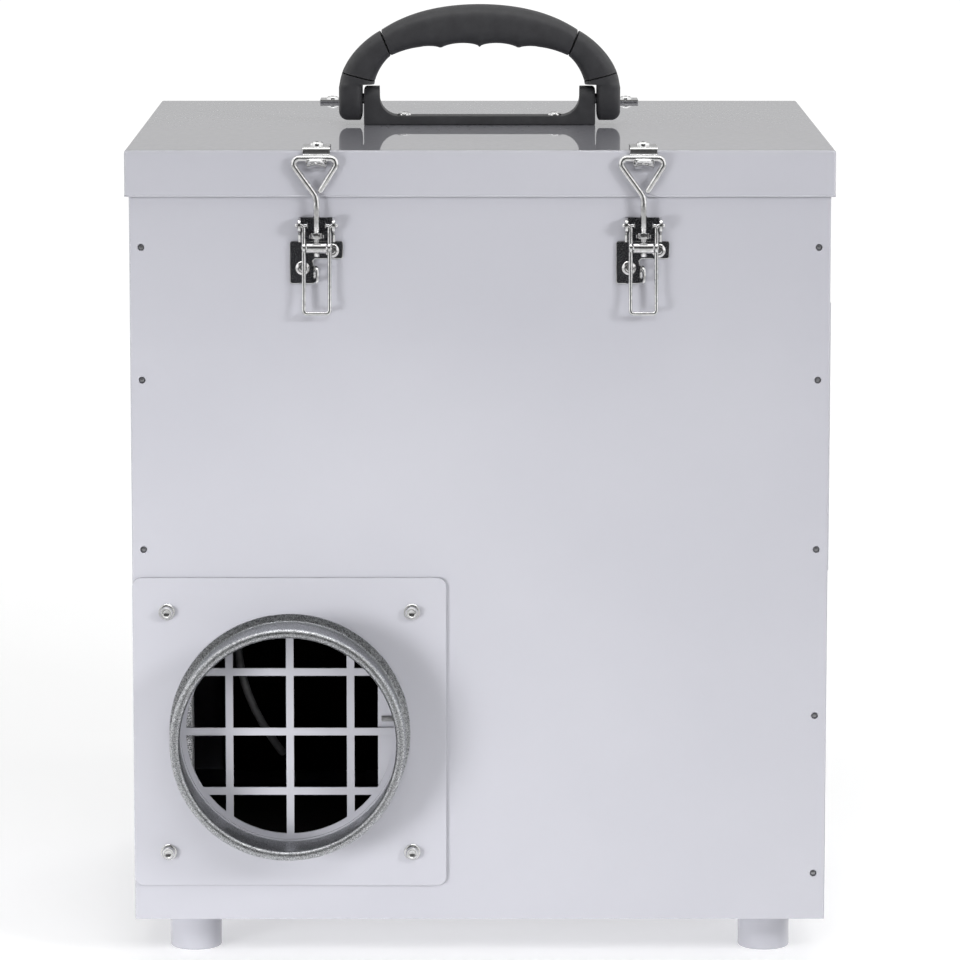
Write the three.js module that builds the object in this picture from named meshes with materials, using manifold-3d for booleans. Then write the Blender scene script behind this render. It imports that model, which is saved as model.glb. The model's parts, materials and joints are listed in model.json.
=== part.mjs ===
// Portable desiccant dehumidifier in a latched sheet-metal cabinet.
// Millimetres. +Z is up, the face with the dry-air duct looks towards -Y, the floor is z = 0,
// and the origin is the middle of the footprint.
import * as THREE from 'three';
import { mergeVertices } from 'three/addons/utils/BufferGeometryUtils.js';
import Module from 'manifold-3d';

const wasm = await Module();
wasm.setup();

// ---------------------------------------------------------------- driving dimensions
const BODY_W = 383; // cabinet width, X
const BODY_D = 351; // cabinet depth, Y
const BODY_H = 423; // height of the cabinet walls
const FOOT_H = 25;
const FOOT_D = 29;
const FOOT_INSET_X = 31.5; // foot axis from the cabinet's side
const FOOT_INSET_Y = 44; // foot axis from the cabinet's front or rear
const STUD_D = 6; // foot stud through the floor pan
const SHEET = 1.5; // cabinet and lid sheet
const GAP = 0.3; // between pieces that touch
const HOLE_CLEARANCE = 0.6; // on the diameter of a screw hole

const FLANGE_IN = 14; // side panels' flanges behind the front and rear panels
const RIM_IN = 6; // return at the top of the walls, under the gasket
const PAN_UPSTAND = 14;
const LID_OVERHANG = 2.5;
const LID_SKIRT = 25.4;
const GASKET_T = 3.1;
const GASKET_W = 6;
const GASKET_INSET = 1;
const RIVET_HEIGHTS = [26, 115, 208, 302, 375]; // above the bottom edge of the walls
const RIVET_INSET = 6.5;
const RIVET_D = 3.8;

const DUCT_D = 125; // outside of the dry-air spigot's tube
const DUCT_PLATE = 173; // square flange plate, edge flush with the cabinet's side
const DUCT_PLATE_T = 2;
const DUCT_PLATE_R = 5;
const DUCT_PLATE_UP = 19.5; // plate's lower edge above the walls' lower edge
const DUCT_REACH = 40; // both spigots, from the cabinet's face
const DUCT_BOLT_PITCH = 135;
const DUCT_BOLT_D = 4;
const TUBE_T = 1.2;
const BEAD_R = 2.7; // rolled rim
const COLLAR_W = 4; // foot of a spigot on its plate
const GRID_R = 57.5; // cut-out in the front panel
const GRID_PITCH = 33.5;
const GRID_BAR = 4.2;

const WET_D = 80; // outside of the wet-air spigot's tube
const WET_BELOW_LEVER = 11; // its collar below the rear latches' levers

const LATCH_X = 89;
const PIVOT_OUT = 6.8; // latch pivot, bail and hook plane, from the cabinet's face
const BAR_BELOW_LID = 4; // bail's cross bar below the lid's top
const LEVER_ARM = 12.2; // lever pivot to barrel
const BAIL_LEN = 48.8; // barrel to cross bar
const BAIL_DROP = 21.1; // cross bar to where the bail's sides meet
const BAIL_WIRE_R = 1.7;
const BAIL_LEFT = 14.7; // corners of the bail before they are rounded
const BAIL_RIGHT = 13;
const BAIL_BEND = 8.5; // run of a rounded corner along each of its sides
const SHANK_R = 2;
const LEVER_WIRE_R = 1;
const LEVER_HALF_W = 7;
const LEVER_LEN = 48;
const EAR_X = 9.3;
const BARREL_R = 3;
const LATCH_SCREWS = [[-7.8, -23.7], [8.3, -14.1]]; // X and Z from the lever's pivot
const HOOK_CLEARANCE = 0.4;
const HOOK_OUT = 7.8; // tip of the hook beyond the bail's plane
const KEEPER_W = 15;
const KEEPER_BACK = 20.5; // of the keeper's flat on the lid
const KEEPER_SCREW_BACK = 13;

const HANDLE_HALF_W = 81;
const HANDLE_H = 69;
const HANDLE_DEPTH = 25;
const LEG_T = 13.7;
const PIVOT_H = 14.8; // handle pivot above the lid
const POST_W = 9;
const GROOVE_PITCH = 22.3; // finger grooves under the grip
const GROOVE_TOP = 47;
const GROOVE_CUSP = 44.7;
const BASE_T = 5.2;
const BASE_DEPTH = 16;
const BASE_SCREW_X = 43.5;

const ROTOR_R = 125;
const ROTOR_H = Math.round(0.1418 * BODY_H);
const AXLE_R = 6;
const PULLEY_R = 12;
const PULLEY_X = 150;
const PULLEY_Y = -135;
const BELT_T = 2;
const BELT_W = 10;
const MOTOR_R = 24;
const MOTOR_H = 18;
const MOTOR_SHAFT_R = 3;
const FAN_R = 85;
const FAN_X = 40;
const FAN_Y = 10;
const BLOWER_R = 55;
const BLOWER_X = 65;
const BLOWER_Y = 60;
const BLOWER_H = Math.round(0.1182 * BODY_H);
const BLOWER_OUT_R = 0.48 * BLOWER_H; // outlet tube, on the blower's side
const HOOD_H = 9;
const GRILLE_W = 200;
const GRILLE_BELOW_LEVER = 19.6; // grille's top below the rear latches' levers
const GRILLE_X = -70;
const GRILLE_FRAME = 10; // of the grille over the rear panel's opening
const PANEL_W = 150;
const PANEL_H = 70;
const PANEL_X = 95;
const PANEL_UP = 85; // control panel's centre above the walls' lower edge
const CONTROL_FRAME = 7; // of the control panel over the rear panel's opening

// ---------------------------------------------------------------- places that follow from them
const FACE_Y = BODY_D / 2; // front face is at -FACE_Y, rear face at +FACE_Y
const SIDE_X = BODY_W / 2;
const WALL_TOP = FOOT_H + BODY_H;
const LID_UNDER = WALL_TOP + GAP + GASKET_T + GAP;
const LID_TOP = LID_UNDER + SHEET;
const DUCT_X = -SIDE_X + DUCT_PLATE / 2;
const DUCT_Z = FOOT_H + DUCT_PLATE_UP + DUCT_PLATE / 2;
const PIVOT_Z = LID_TOP - BAR_BELOW_LID - BAIL_LEN + LEVER_ARM;
const WET_X = BLOWER_X + BLOWER_R - BLOWER_OUT_R;
const WET_Z = PIVOT_Z - LEVER_LEN - WET_BELOW_LEVER - WET_D / 2 - COLLAR_W;
const BLOWER_Z = WET_Z - BLOWER_H / 2;
const HOOD_Z = BLOWER_Z - GAP - HOOD_H;
const ROTOR_Z = HOOD_Z - 4 - ROTOR_H;
const CASSETTE_Z = ROTOR_Z - 3 - SHEET;
const DECK_TOP = CASSETTE_Z - GAP;
const DECK_Z = DECK_TOP - SHEET;
const DECK_UP = DECK_Z - FOOT_H;
const GRILLE_TOP = PIVOT_Z - LEVER_LEN - GRILLE_BELOW_LEVER;
const GRILLE_H = GRILLE_TOP - DECK_Z;
const GRILLE_Z = GRILLE_TOP - GRILLE_H / 2;
const CASSETTE_HALF = ROTOR_R + 12;
const PANEL_Z = FOOT_H + PANEL_UP;
const INNER_X = SIDE_X - SHEET;
const INNER_Y = FACE_Y - SHEET;

// ---------------------------------------------------------------- solids
// A manifold solid made from a closed three.js geometry.
function solid(geometry) {
  const bare = geometry.clone();
  bare.deleteAttribute('normal');
  bare.deleteAttribute('uv');
  const merged = mergeVertices(bare, 1e-4);
  const index = merged.index.array;
  const triangles = [];
  for (let i = 0; i < index.length; i += 3) {
    const [a, b, c] = [index[i], index[i + 1], index[i + 2]];
    if (a !== b && b !== c && c !== a) triangles.push(a, b, c);
  }
  return new wasm.Manifold(new wasm.Mesh({
    numProp: 3,
    vertProperties: new Float32Array(merged.attributes.position.array),
    triVerts: new Uint32Array(triangles),
  }));
}

function geometryOf(manifold) {
  const mesh = manifold.getMesh();
  const geometry = new THREE.BufferGeometry();
  geometry.setAttribute('position', new THREE.BufferAttribute(new Float32Array(mesh.vertProperties), 3));
  geometry.setIndex(new THREE.BufferAttribute(new Uint32Array(mesh.triVerts), 1));
  geometry.computeVertexNormals();
  return geometry;
}

function join(...pieces) {
  return geometryOf(pieces.map(solid).reduce((whole, piece) => whole.add(piece)));
}

function cut(base, ...tools) {
  return geometryOf(tools.map(solid).reduce((rest, tool) => rest.subtract(tool), solid(base)));
}

function common(a, b) {
  return geometryOf(solid(a).intersect(solid(b)));
}

// A box between two corners.
function span(x0, x1, y0, y1, z0, z1) {
  const geometry = new THREE.BoxGeometry(x1 - x0, y1 - y0, z1 - z0);
  geometry.translate((x0 + x1) / 2, (y0 + y1) / 2, (z0 + z1) / 2);
  return geometry;
}

// A round rod along one axis; a and b are its place on the other two, in X, Y, Z order.
function rod(axis, radius, from, to, a, b, sides = 16) {
  const geometry = new THREE.CylinderGeometry(radius, radius, to - from, sides);
  const middle = (from + to) / 2;
  if (axis === 'x') return geometry.rotateZ(Math.PI / 2).translate(middle, a, b);
  if (axis === 'y') return geometry.translate(a, middle, b);
  return geometry.rotateX(Math.PI / 2).translate(a, b, middle);
}

// A turned solid about Z; the outline's points are [radius, height] and close on themselves.
function turned(outline, sides) {
  const points = outline.map(([radius, height]) => new THREE.Vector2(radius, height));
  points.push(points[0].clone());
  return new THREE.LatheGeometry(points, sides).rotateX(Math.PI / 2);
}

function polygon(corners) {
  return new THREE.Shape(corners.map(([a, b]) => new THREE.Vector2(a, b)));
}

function roundedRectangle(x0, x1, z0, z1, radius) {
  const shape = new THREE.Shape();
  shape.absarc(x1 - radius, z0 + radius, radius, -Math.PI / 2, 0);
  shape.absarc(x1 - radius, z1 - radius, radius, 0, Math.PI / 2);
  shape.absarc(x0 + radius, z1 - radius, radius, Math.PI / 2, Math.PI);
  shape.absarc(x0 + radius, z0 + radius, radius, Math.PI, 1.5 * Math.PI);
  return shape;
}

// An outline in (x, z) given thickness in Y, from y0 on.
function facePlate(shape, y0, thickness, curveSegments = 5) {
  const geometry = new THREE.ExtrudeGeometry(shape, { depth: thickness, bevelEnabled: false, curveSegments });
  return geometry.rotateX(Math.PI / 2).translate(0, y0 + thickness, 0);
}

// An outline in (y, z) given thickness in X, from x0 on.
function sidePlate(shape, x0, thickness, curveSegments = 6) {
  const geometry = new THREE.ExtrudeGeometry(shape, { depth: thickness, bevelEnabled: false, curveSegments });
  const turn = new THREE.Matrix4().set(0, 0, 1, 0, 1, 0, 0, 0, 0, 1, 0, 0, 0, 0, 0, 1);
  return geometry.applyMatrix4(turn).translate(x0, 0, 0);
}

// An outline in (x, y) given height, from z0 on.
function flatPlate(shape, z0, thickness, curveSegments = 6) {
  const geometry = new THREE.ExtrudeGeometry(shape, { depth: thickness, bevelEnabled: false, curveSegments });
  return geometry.translate(0, 0, z0);
}

// A path of straight runs with rounded corners.
function roundedPath(corners, radius) {
  const points = corners.map((corner) => new THREE.Vector3(...corner));
  const path = new THREE.CurvePath();
  let last = points[0];
  for (let i = 1; i < points.length - 1; i += 1) {
    const before = points[i].clone().sub(points[i - 1]).setLength(radius);
    const after = points[i + 1].clone().sub(points[i]).setLength(radius);
    const start = points[i].clone().sub(before);
    const end = points[i].clone().add(after);
    path.add(new THREE.LineCurve3(last, start));
    path.add(new THREE.QuadraticBezierCurve3(start, points[i], end));
    last = end;
  }
  path.add(new THREE.LineCurve3(last, points[points.length - 1]));
  return path;
}

function wire(path, radius, steps, sides = 6) {
  const corners = [];
  for (let i = 0; i < sides; i += 1) {
    const angle = (2 * Math.PI * i) / sides;
    corners.push([radius * Math.cos(angle), radius * Math.sin(angle)]);
  }
  return new THREE.ExtrudeGeometry(polygon(corners), { steps, extrudePath: path, bevelEnabled: false });
}

// ---------------------------------------------------------------- materials and assembly
function finish(color, roughness, metalness) {
  return () => new THREE.MeshStandardMaterial({ color, roughness, metalness });
}

const paint = finish(0xc2c2cb, 0.38, 0.1);
const galvanised = finish(0xb4b6b9, 0.4, 0.9);
const zinc = finish(0xd2d3d3, 0.25, 1);
const darkPlate = finish(0x3b3d40, 0.45, 0.8);
const handlePlastic = finish(0x3a3a3c, 0.7, 0);
const rubber = finish(0x1f1f20, 0.85, 0);
const blackPlastic = finish(0x18181a, 0.55, 0);
const desiccant = finish(0xd9d6c9, 0.9, 0);
const filterCloth = finish(0xe4e4de, 0.95, 0);
const bareSteel = finish(0x9a9ca0, 0.45, 1);

const machine = new THREE.Group();

function add(parent, name, geometry, material) {
  const mesh = new THREE.Mesh(geometry, material());
  mesh.name = name;
  parent.add(mesh);
}

// ---------------------------------------------------------------- cabinet
function rivetHoles(y0, y1) {
  const holes = [];
  for (const side of [-1, 1]) {
    for (const height of RIVET_HEIGHTS) {
      holes.push(rod('y', RIVET_D / 2, y0, y1, side * (SIDE_X - RIVET_INSET), FOOT_H + height, 6));
    }
  }
  return holes;
}

function latchScrewHoles(y0, y1, turn) {
  const holes = [];
  for (const x of [-LATCH_X, LATCH_X]) {
    for (const [screwX, screwZ] of LATCH_SCREWS) {
      const across = x + turn * screwX;
      holes.push(rod('y', SHANK_R + HOLE_CLEARANCE / 2, y0, y1, across, PIVOT_Z + screwZ, 6));
    }
  }
  return holes;
}

function topRim(sign) {
  const near = INNER_Y + 0.5;
  const far = INNER_Y - RIM_IN;
  const z0 = WALL_TOP - SHEET;
  const x = INNER_X - GAP;
  return sign < 0 ? span(-x, x, -near, -far, z0, WALL_TOP) : span(-x, x, far, near, z0, WALL_TOP);
}

function gridCells() {
  const cells = [];
  const half = (GRID_PITCH - GRID_BAR) / 2;
  for (const i of [-1.5, -0.5, 0.5, 1.5]) {
    for (const k of [-1.5, -0.5, 0.5, 1.5]) {
      const x = DUCT_X + i * GRID_PITCH;
      const z = DUCT_Z + k * GRID_PITCH;
      cells.push(span(x - half, x + half, -FACE_Y - 1, -INNER_Y + 1, z - half, z + half));
    }
  }
  const round = rod('y', GRID_R, -FACE_Y - 2, -INNER_Y + 2, DUCT_X, DUCT_Z, 38);
  return common(join(...cells), round);
}

function boltPlaces() {
  const places = [];
  for (const i of [-0.5, 0.5]) {
    for (const k of [0.5, -0.5]) places.push([DUCT_X + i * DUCT_BOLT_PITCH, DUCT_Z + k * DUCT_BOLT_PITCH]);
  }
  return places;
}

function boltHoles(y0, y1) {
  return boltPlaces().map(([x, z]) => rod('y', (DUCT_BOLT_D + HOLE_CLEARANCE) / 2, y0, y1, x, z, 8));
}

function frontPanel() {
  const wall = span(-SIDE_X, SIDE_X, -FACE_Y, -INNER_Y, FOOT_H, WALL_TOP);
  const through = [-FACE_Y - 1, -INNER_Y + 1];
  const holes = [...rivetHoles(...through), ...latchScrewHoles(...through, 1), ...boltHoles(...through)];
  return cut(join(wall, topRim(-1)), gridCells(), ...holes);
}

function rearPanel() {
  const wall = span(-SIDE_X, SIDE_X, INNER_Y, FACE_Y, FOOT_H, WALL_TOP);
  const [y0, y1] = [INNER_Y - 1, FACE_Y + 1];
  const intakeX = GRILLE_W / 2 - GRILLE_FRAME;
  const intakeZ = GRILLE_H / 2 - GRILLE_FRAME;
  const controlX = PANEL_W / 2 - CONTROL_FRAME;
  const controlZ = PANEL_H / 2 - CONTROL_FRAME;
  return cut(
    join(wall, topRim(1)),
    span(GRILLE_X - intakeX, GRILLE_X + intakeX, y0, y1, GRILLE_Z - intakeZ, GRILLE_Z + intakeZ),
    span(PANEL_X - controlX, PANEL_X + controlX, y0, y1, PANEL_Z - controlZ, PANEL_Z + controlZ),
    rod('y', WET_D / 2 - COLLAR_W, y0, y1, WET_X, WET_Z, 22),
    ...rivetHoles(y0, y1),
    ...latchScrewHoles(y0, y1, -1),
  );
}

function sidePanel(sign) {
  const reach = INNER_Y - GAP;
  const web = [INNER_X, SIDE_X];
  const flange = [INNER_X - FLANGE_IN, INNER_X + 0.5];
  const rimY = INNER_Y - RIM_IN - GAP;
  const rim = [INNER_X - RIM_IN, INNER_X + 0.5];
  const ordered = ([a, b]) => (sign > 0 ? [a, b] : [-b, -a]);
  return join(
    span(...ordered(web), -reach, reach, FOOT_H, WALL_TOP),
    span(...ordered(flange), -reach, -reach + SHEET, FOOT_H, WALL_TOP - SHEET - GAP),
    span(...ordered(flange), reach - SHEET, reach, FOOT_H, WALL_TOP - SHEET - GAP),
    span(...ordered(rim), -rimY, rimY, WALL_TOP - SHEET, WALL_TOP),
  );
}

// The rims of the front and rear panels lie over the side panels' flanges, and the side panels'
// webs stop short of them in a notch.
function sideWithNotch(sign) {
  const x = [INNER_X - 2 * FLANGE_IN, INNER_X];
  const [x0, x1] = sign > 0 ? x : [-x[1], -x[0]];
  const near = INNER_Y - RIM_IN - GAP;
  const z0 = WALL_TOP - SHEET - GAP;
  const front = span(x0, x1, -INNER_Y, -near, z0, WALL_TOP + 1);
  const rear = span(x0, x1, near, INNER_Y, z0, WALL_TOP + 1);
  return cut(sidePanel(sign), front, rear);
}

const FOOT_X = SIDE_X - FOOT_INSET_X;
const FOOT_Y = FACE_Y - FOOT_INSET_Y;
const CORNERS = [[-1, -1, 'front_left'], [1, -1, 'front_right'], [-1, 1, 'rear_left'], [1, 1, 'rear_right']];

function floorPan() {
  const x = INNER_X - GAP;
  const y = INNER_Y - GAP - SHEET - GAP;
  const top = FOOT_H + PAN_UPSTAND;
  const holes = CORNERS.map(([i, k]) => {
    const radius = (STUD_D + HOLE_CLEARANCE) / 2;
    return rod('z', radius, FOOT_H - 1, FOOT_H + SHEET + 1, i * FOOT_X, k * FOOT_Y, 10);
  });
  return cut(
    span(-x, x, -y, y, FOOT_H, top),
    span(-x + SHEET, x - SHEET, -y + SHEET, y - SHEET, FOOT_H + SHEET, top + 1),
    ...holes,
  );
}

function foot() {
  const radius = FOOT_D / 2;
  const top = FOOT_H - GAP;
  const stud = STUD_D / 2;
  const edge = 1;
  const studTop = FOOT_H + SHEET + 5;
  const half = [[0, 0], [radius - edge, 0], [radius, edge], [radius, top]];
  half.push([stud, top], [stud, studTop], [0, studTop]);
  return turned(half, 16);
}

add(machine, 'front_panel', frontPanel(), paint);
add(machine, 'rear_panel', rearPanel(), paint);
add(machine, 'side_panel_left', sideWithNotch(-1), paint);
add(machine, 'side_panel_right', sideWithNotch(1), paint);
add(machine, 'floor_pan', floorPan(), paint);
for (const [i, k, corner] of CORNERS) {
  add(machine, `foot_${corner}`, foot().translate(i * FOOT_X, k * FOOT_Y, 0), paint);
}

// ---------------------------------------------------------------- lid
function lidShell() {
  const x = SIDE_X + LID_OVERHANG;
  const y = FACE_Y + LID_OVERHANG;
  const bottom = LID_TOP - LID_SKIRT;
  const holeR = SHANK_R + HOLE_CLEARANCE / 2;
  const screwY = y - KEEPER_SCREW_BACK;
  const places = CORNERS.map(([i, k]) => [i * LATCH_X, k * screwY]);
  places.push([-BASE_SCREW_X, 0], [BASE_SCREW_X, 0]);
  const holes = places.map(([hx, hy]) => rod('z', holeR, LID_UNDER - 1, LID_TOP + 1, hx, hy, 6));
  const inside = span(-x + SHEET, x - SHEET, -y + SHEET, y - SHEET, bottom - 1, LID_UNDER);
  return cut(span(-x, x, -y, y, bottom, LID_TOP), inside, ...holes);
}

function lidGasket() {
  const x = SIDE_X - GASKET_INSET;
  const y = FACE_Y - GASKET_INSET;
  const z0 = WALL_TOP + GAP;
  return cut(
    span(-x, x, -y, y, z0, z0 + GASKET_T),
    span(-x + GASKET_W, x - GASKET_W, -y + GASKET_W, y - GASKET_W, z0 - 1, z0 + GASKET_T + 1),
  );
}

add(machine, 'lid_shell', lidShell(), paint);
add(machine, 'lid_gasket', lidGasket(), rubber);

// ---------------------------------------------------------------- dry-air duct spigot
function ductPlate() {
  const half = DUCT_PLATE / 2;
  const shape = roundedRectangle(DUCT_X - half, DUCT_X + half, DUCT_Z - half, DUCT_Z + half, DUCT_PLATE_R);
  const y0 = -FACE_Y - GAP - DUCT_PLATE_T;
  const through = [y0 - 1, -FACE_Y + 1];
  const bore = rod('y', DUCT_D / 2 - COLLAR_W / 2, ...through, DUCT_X, DUCT_Z, 38);
  return cut(facePlate(shape, y0, DUCT_PLATE_T), bore, ...boltHoles(...through));
}

// A spigot standing on z = 0: a foot ring, a plain tube and a rolled rim at its end.
function spigot(diameter, reach, sides) {
  const outer = diameter / 2;
  const inner = outer - TUBE_T;
  const middle = (outer + inner) / 2;
  const bead = [];
  const beadSteps = 8;
  for (let i = 1; i < beadSteps; i += 1) {
    const angle = -Math.PI / 2 + (2 * Math.PI * i) / beadSteps;
    bead.push([middle + BEAD_R * Math.cos(angle), reach - BEAD_R + BEAD_R * Math.sin(angle)]);
  }
  const shoulder = reach - 2 * BEAD_R;
  const foot = [[inner, 0], [outer + COLLAR_W, 0], [outer + COLLAR_W, TUBE_T], [outer, TUBE_T]];
  return turned([...foot, [outer, shoulder], ...bead, [inner, shoulder]], sides);
}

const ductFoot = GAP + DUCT_PLATE_T + GAP;
const ductSpigot = spigot(DUCT_D, DUCT_REACH - ductFoot, 38);
ductSpigot.rotateX(Math.PI / 2).translate(DUCT_X, -FACE_Y - ductFoot, DUCT_Z);
add(machine, 'duct_plate', ductPlate(), paint);
add(machine, 'duct_spigot', ductSpigot, galvanised);

// A socket-head cap screw with a washer under its head, pointing down into z < 0.
function capScrew(diameter, length, socketSides = 6) {
  const washerR = 1.12 * diameter;
  const washerT = 0.8;
  const headR = 0.875 * diameter;
  const headTop = washerT + diameter;
  const socketR = 0.43 * diameter;
  const half = [[0, -length], [diameter / 2, -length], [diameter / 2, 0], [washerR, 0], [washerR, washerT]];
  half.push([headR, washerT], [headR, headTop], [0, headTop]);
  return cut(turned(half, 12), rod('z', socketR, 0.45 * headTop, headTop + 1, 0, 0, socketSides));
}

const BOLT_NAMES = ['duct_bolt_top_left', 'duct_bolt_low_left', 'duct_bolt_top_right', 'duct_bolt_low_right'];
boltPlaces().forEach(([x, z], i) => {
  const bolt = capScrew(DUCT_BOLT_D, ductFoot + SHEET + 5);
  bolt.rotateX(Math.PI / 2).translate(x, -FACE_Y - ductFoot, z);
  add(machine, BOLT_NAMES[i], bolt, zinc);
});

// ---------------------------------------------------------------- toggle latches
// In a latch's own frame the origin is on the cabinet's face under the lever's pivot axis,
// -Y is outwards and +Z is up.
function latchBase() {
  const y0 = -GAP - SHEET;
  const earOut = 4;
  const plate = polygon([
    [-10, 3.9], [-10, -9], [-14.8, -9], [-14.8, -32.4], [-1.8, -32.4], [-1.8, -18.7], [14.3, -18.7],
    [14.3, -9], [10, -9], [10, 3.9],
  ]);
  const ear = new THREE.Shape();
  ear.moveTo(y0 + 0.5, -earOut);
  ear.lineTo(y0 + 0.5, earOut - 0.1);
  ear.lineTo(-PIVOT_OUT, earOut - 0.1);
  ear.absarc(-PIVOT_OUT, 0, earOut - 0.1, Math.PI / 2, 1.5 * Math.PI);
  const earT = 1.2;
  const pieces = [facePlate(plate, y0, SHEET)];
  for (const side of [-1, 1]) pieces.push(sidePlate(ear, side * EAR_X - earT / 2, earT, 4));
  // Padlock eye, a tongue bent out between the lever's legs.
  pieces.push(span(-2, -0.8, y0 - 8, y0 + 0.5, -32.4, -21.5));
  for (const [x, z] of LATCH_SCREWS) {
    pieces.push(rod('y', 4, y0 - 1.7, y0 + 0.5, x, z, 10));
    pieces.push(rod('y', SHANK_R, y0, SHEET + 4, x, z, 6));
  }
  const pivotHole = rod('x', LEVER_WIRE_R + HOLE_CLEARANCE / 2, -EAR_X - 2, EAR_X + 2, -PIVOT_OUT, 0, 6);
  const eyeHole = rod('x', 2, -3, 0, y0 - 4.8, -27.5, 6);
  return cut(join(...pieces), pivotHole, eyeHole);
}

const EYE_R = 2.8;
const TRUNNION_R = 1.1;

function latchLever() {
  const kinkZ = -LEVER_LEN + 10;
  const side = (sign) => [
    [sign * (EAR_X + 1.5), -PIVOT_OUT, 0], [sign * LEVER_HALF_W, -PIVOT_OUT, 0],
    [sign * LEVER_HALF_W, -PIVOT_OUT, kinkZ], [sign * LEVER_HALF_W, -PIVOT_OUT - 2.4, -LEVER_LEN],
  ];
  const path = roundedPath([...side(-1), ...side(1).reverse()], 1.4);
  const pieces = [wire(path, LEVER_WIRE_R, 30, 5)];
  for (const sign of [-1, 1]) {
    const x = sign * LEVER_HALF_W;
    pieces.push(rod('x', EYE_R, x - LEVER_WIRE_R, x + LEVER_WIRE_R, -PIVOT_OUT, -LEVER_ARM, 8));
  }
  const bore = rod('x', TRUNNION_R + GAP, -EAR_X, EAR_X, -PIVOT_OUT, -LEVER_ARM, 6);
  return cut(join(...pieces), bore);
}

function latchBarrel() {
  const half = LEVER_HALF_W - LEVER_WIRE_R - 0.4;
  const end = LEVER_HALF_W + LEVER_WIRE_R + 0.4;
  return cut(
    join(
      rod('x', BARREL_R, -half, half, -PIVOT_OUT, -LEVER_ARM, 10),
      rod('x', TRUNNION_R, -end, end, -PIVOT_OUT, -LEVER_ARM, 6),
    ),
    rod('z', SHANK_R + GAP, -LEVER_ARM - 5, -LEVER_ARM + 5, 0, -PIVOT_OUT, 8),
  );
}

const BAR_Z = BAIL_LEN - LEVER_ARM;

// One wire: up from the shank, across to the left corner, along the cross bar and back down to
// the shank's right-hand side, where its end lies against the bend.
function latchBail() {
  const apexZ = BAR_Z - BAIL_DROP;
  const endShare = 0.17; // of the right side, from the apex
  const nutR = 4.04;
  const nutT = 3.2;
  const nutZ = -LEVER_ARM + 5.1;
  const end = [endShare * BAIL_RIGHT, apexZ + endShare * BAIL_DROP];
  const corners = [[0, apexZ], [-BAIL_LEFT, BAR_Z], [BAIL_RIGHT, BAR_Z], end];
  const path = roundedPath(corners.map(([x, z]) => [x, -PIVOT_OUT, z]), BAIL_BEND);
  return join(
    wire(path, BAIL_WIRE_R, 26, 6),
    rod('z', SHANK_R, -LEVER_ARM - 4.8, apexZ + 1.5, 0, -PIVOT_OUT, 8),
    rod('z', nutR, nutZ, nutZ + nutT, 0, -PIVOT_OUT, 6),
  );
}

// The hook's lip follows the arc that the bail's cross bar swings through.
function latchKeeper() {
  const stripIn = LID_OVERHANG + GAP;
  const stripOut = stripIn + SHEET;
  const top = LID_TOP - PIVOT_Z + GAP + SHEET;
  const under = top - SHEET;
  const centreZ = BAR_Z + LEVER_ARM;
  const innerR = LEVER_ARM + BAIL_WIRE_R + HOOK_CLEARANCE;
  const outerR = innerR + SHEET;
  const tipAngle = Math.asin(HOOK_OUT / innerR);
  const arcPoint = (radius, angle) => (
    [-PIVOT_OUT - radius * Math.sin(angle), centreZ - radius * Math.cos(angle)]
  );
  const arc = (radius, from, to) => {
    const steps = 5;
    return Array.from({ length: steps + 1 }, (_, i) => arcPoint(radius, from + ((to - from) * i) / steps));
  };
  const rootOuter = -Math.asin((PIVOT_OUT - stripIn) / outerR);
  const rootInner = -Math.asin((PIVOT_OUT - stripOut) / innerR);
  const stripFoot = arcPoint(outerR, rootOuter)[1];
  const grooveZ = arcPoint(innerR, rootInner)[1];
  const back = -stripIn + GAP + KEEPER_BACK;
  const strip = polygon([
    [back, top], [-stripOut, top], [-stripOut, stripFoot],
    [-stripIn, stripFoot], [-stripIn, under], [back, under],
  ]);
  const lip = polygon([...arc(outerR, rootOuter, tipAngle), ...arc(innerR, tipAngle, rootInner)]);
  const lipIn = -stripIn;
  const tipY = -PIVOT_OUT - outerR * Math.sin(tipAngle) - 1;
  const taper = polygon([[-5.9, lipIn], [-3, tipY], [3, tipY], [5.9, lipIn]]);
  const screwY = -LID_OVERHANG + KEEPER_SCREW_BACK;
  const lipWidth = KEEPER_W - 2;
  return join(
    sidePlate(strip, -KEEPER_W / 2, KEEPER_W),
    common(sidePlate(lip, -lipWidth / 2, lipWidth), flatPlate(taper, grooveZ - 10, 30)),
    rod('z', 3.65, top - 0.5, top + 2.2, 0, screwY, 10),
    rod('z', SHANK_R, LID_UNDER - PIVOT_Z - 3, top, 0, screwY, 6),
  );
}

for (const [i, k, corner] of CORNERS) {
  const latch = new THREE.Group();
  latch.position.set(i * LATCH_X, k * FACE_Y, PIVOT_Z);
  latch.rotation.z = k > 0 ? Math.PI : 0;
  add(latch, `latch_base_${corner}`, latchBase(), darkPlate);
  add(latch, `latch_lever_${corner}`, latchLever(), zinc);
  add(latch, `latch_barrel_${corner}`, latchBarrel(), zinc);
  add(latch, `latch_bail_${corner}`, latchBail(), zinc);
  add(latch, `latch_keeper_${corner}`, latchKeeper(), zinc);
  machine.add(latch);
}

// ---------------------------------------------------------------- folding handle
// In the handle's own frame z = 0 is the lid's top.
const POST_OUT = HANDLE_HALF_W - LEG_T - 0.8;
const POST_TOP = 22;
const SPLIT_OUT = [56.9, 54];
const SPLIT_IN = [51, 39.6];
const ARCH_TAIL = [60.5, 23.4];

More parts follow.
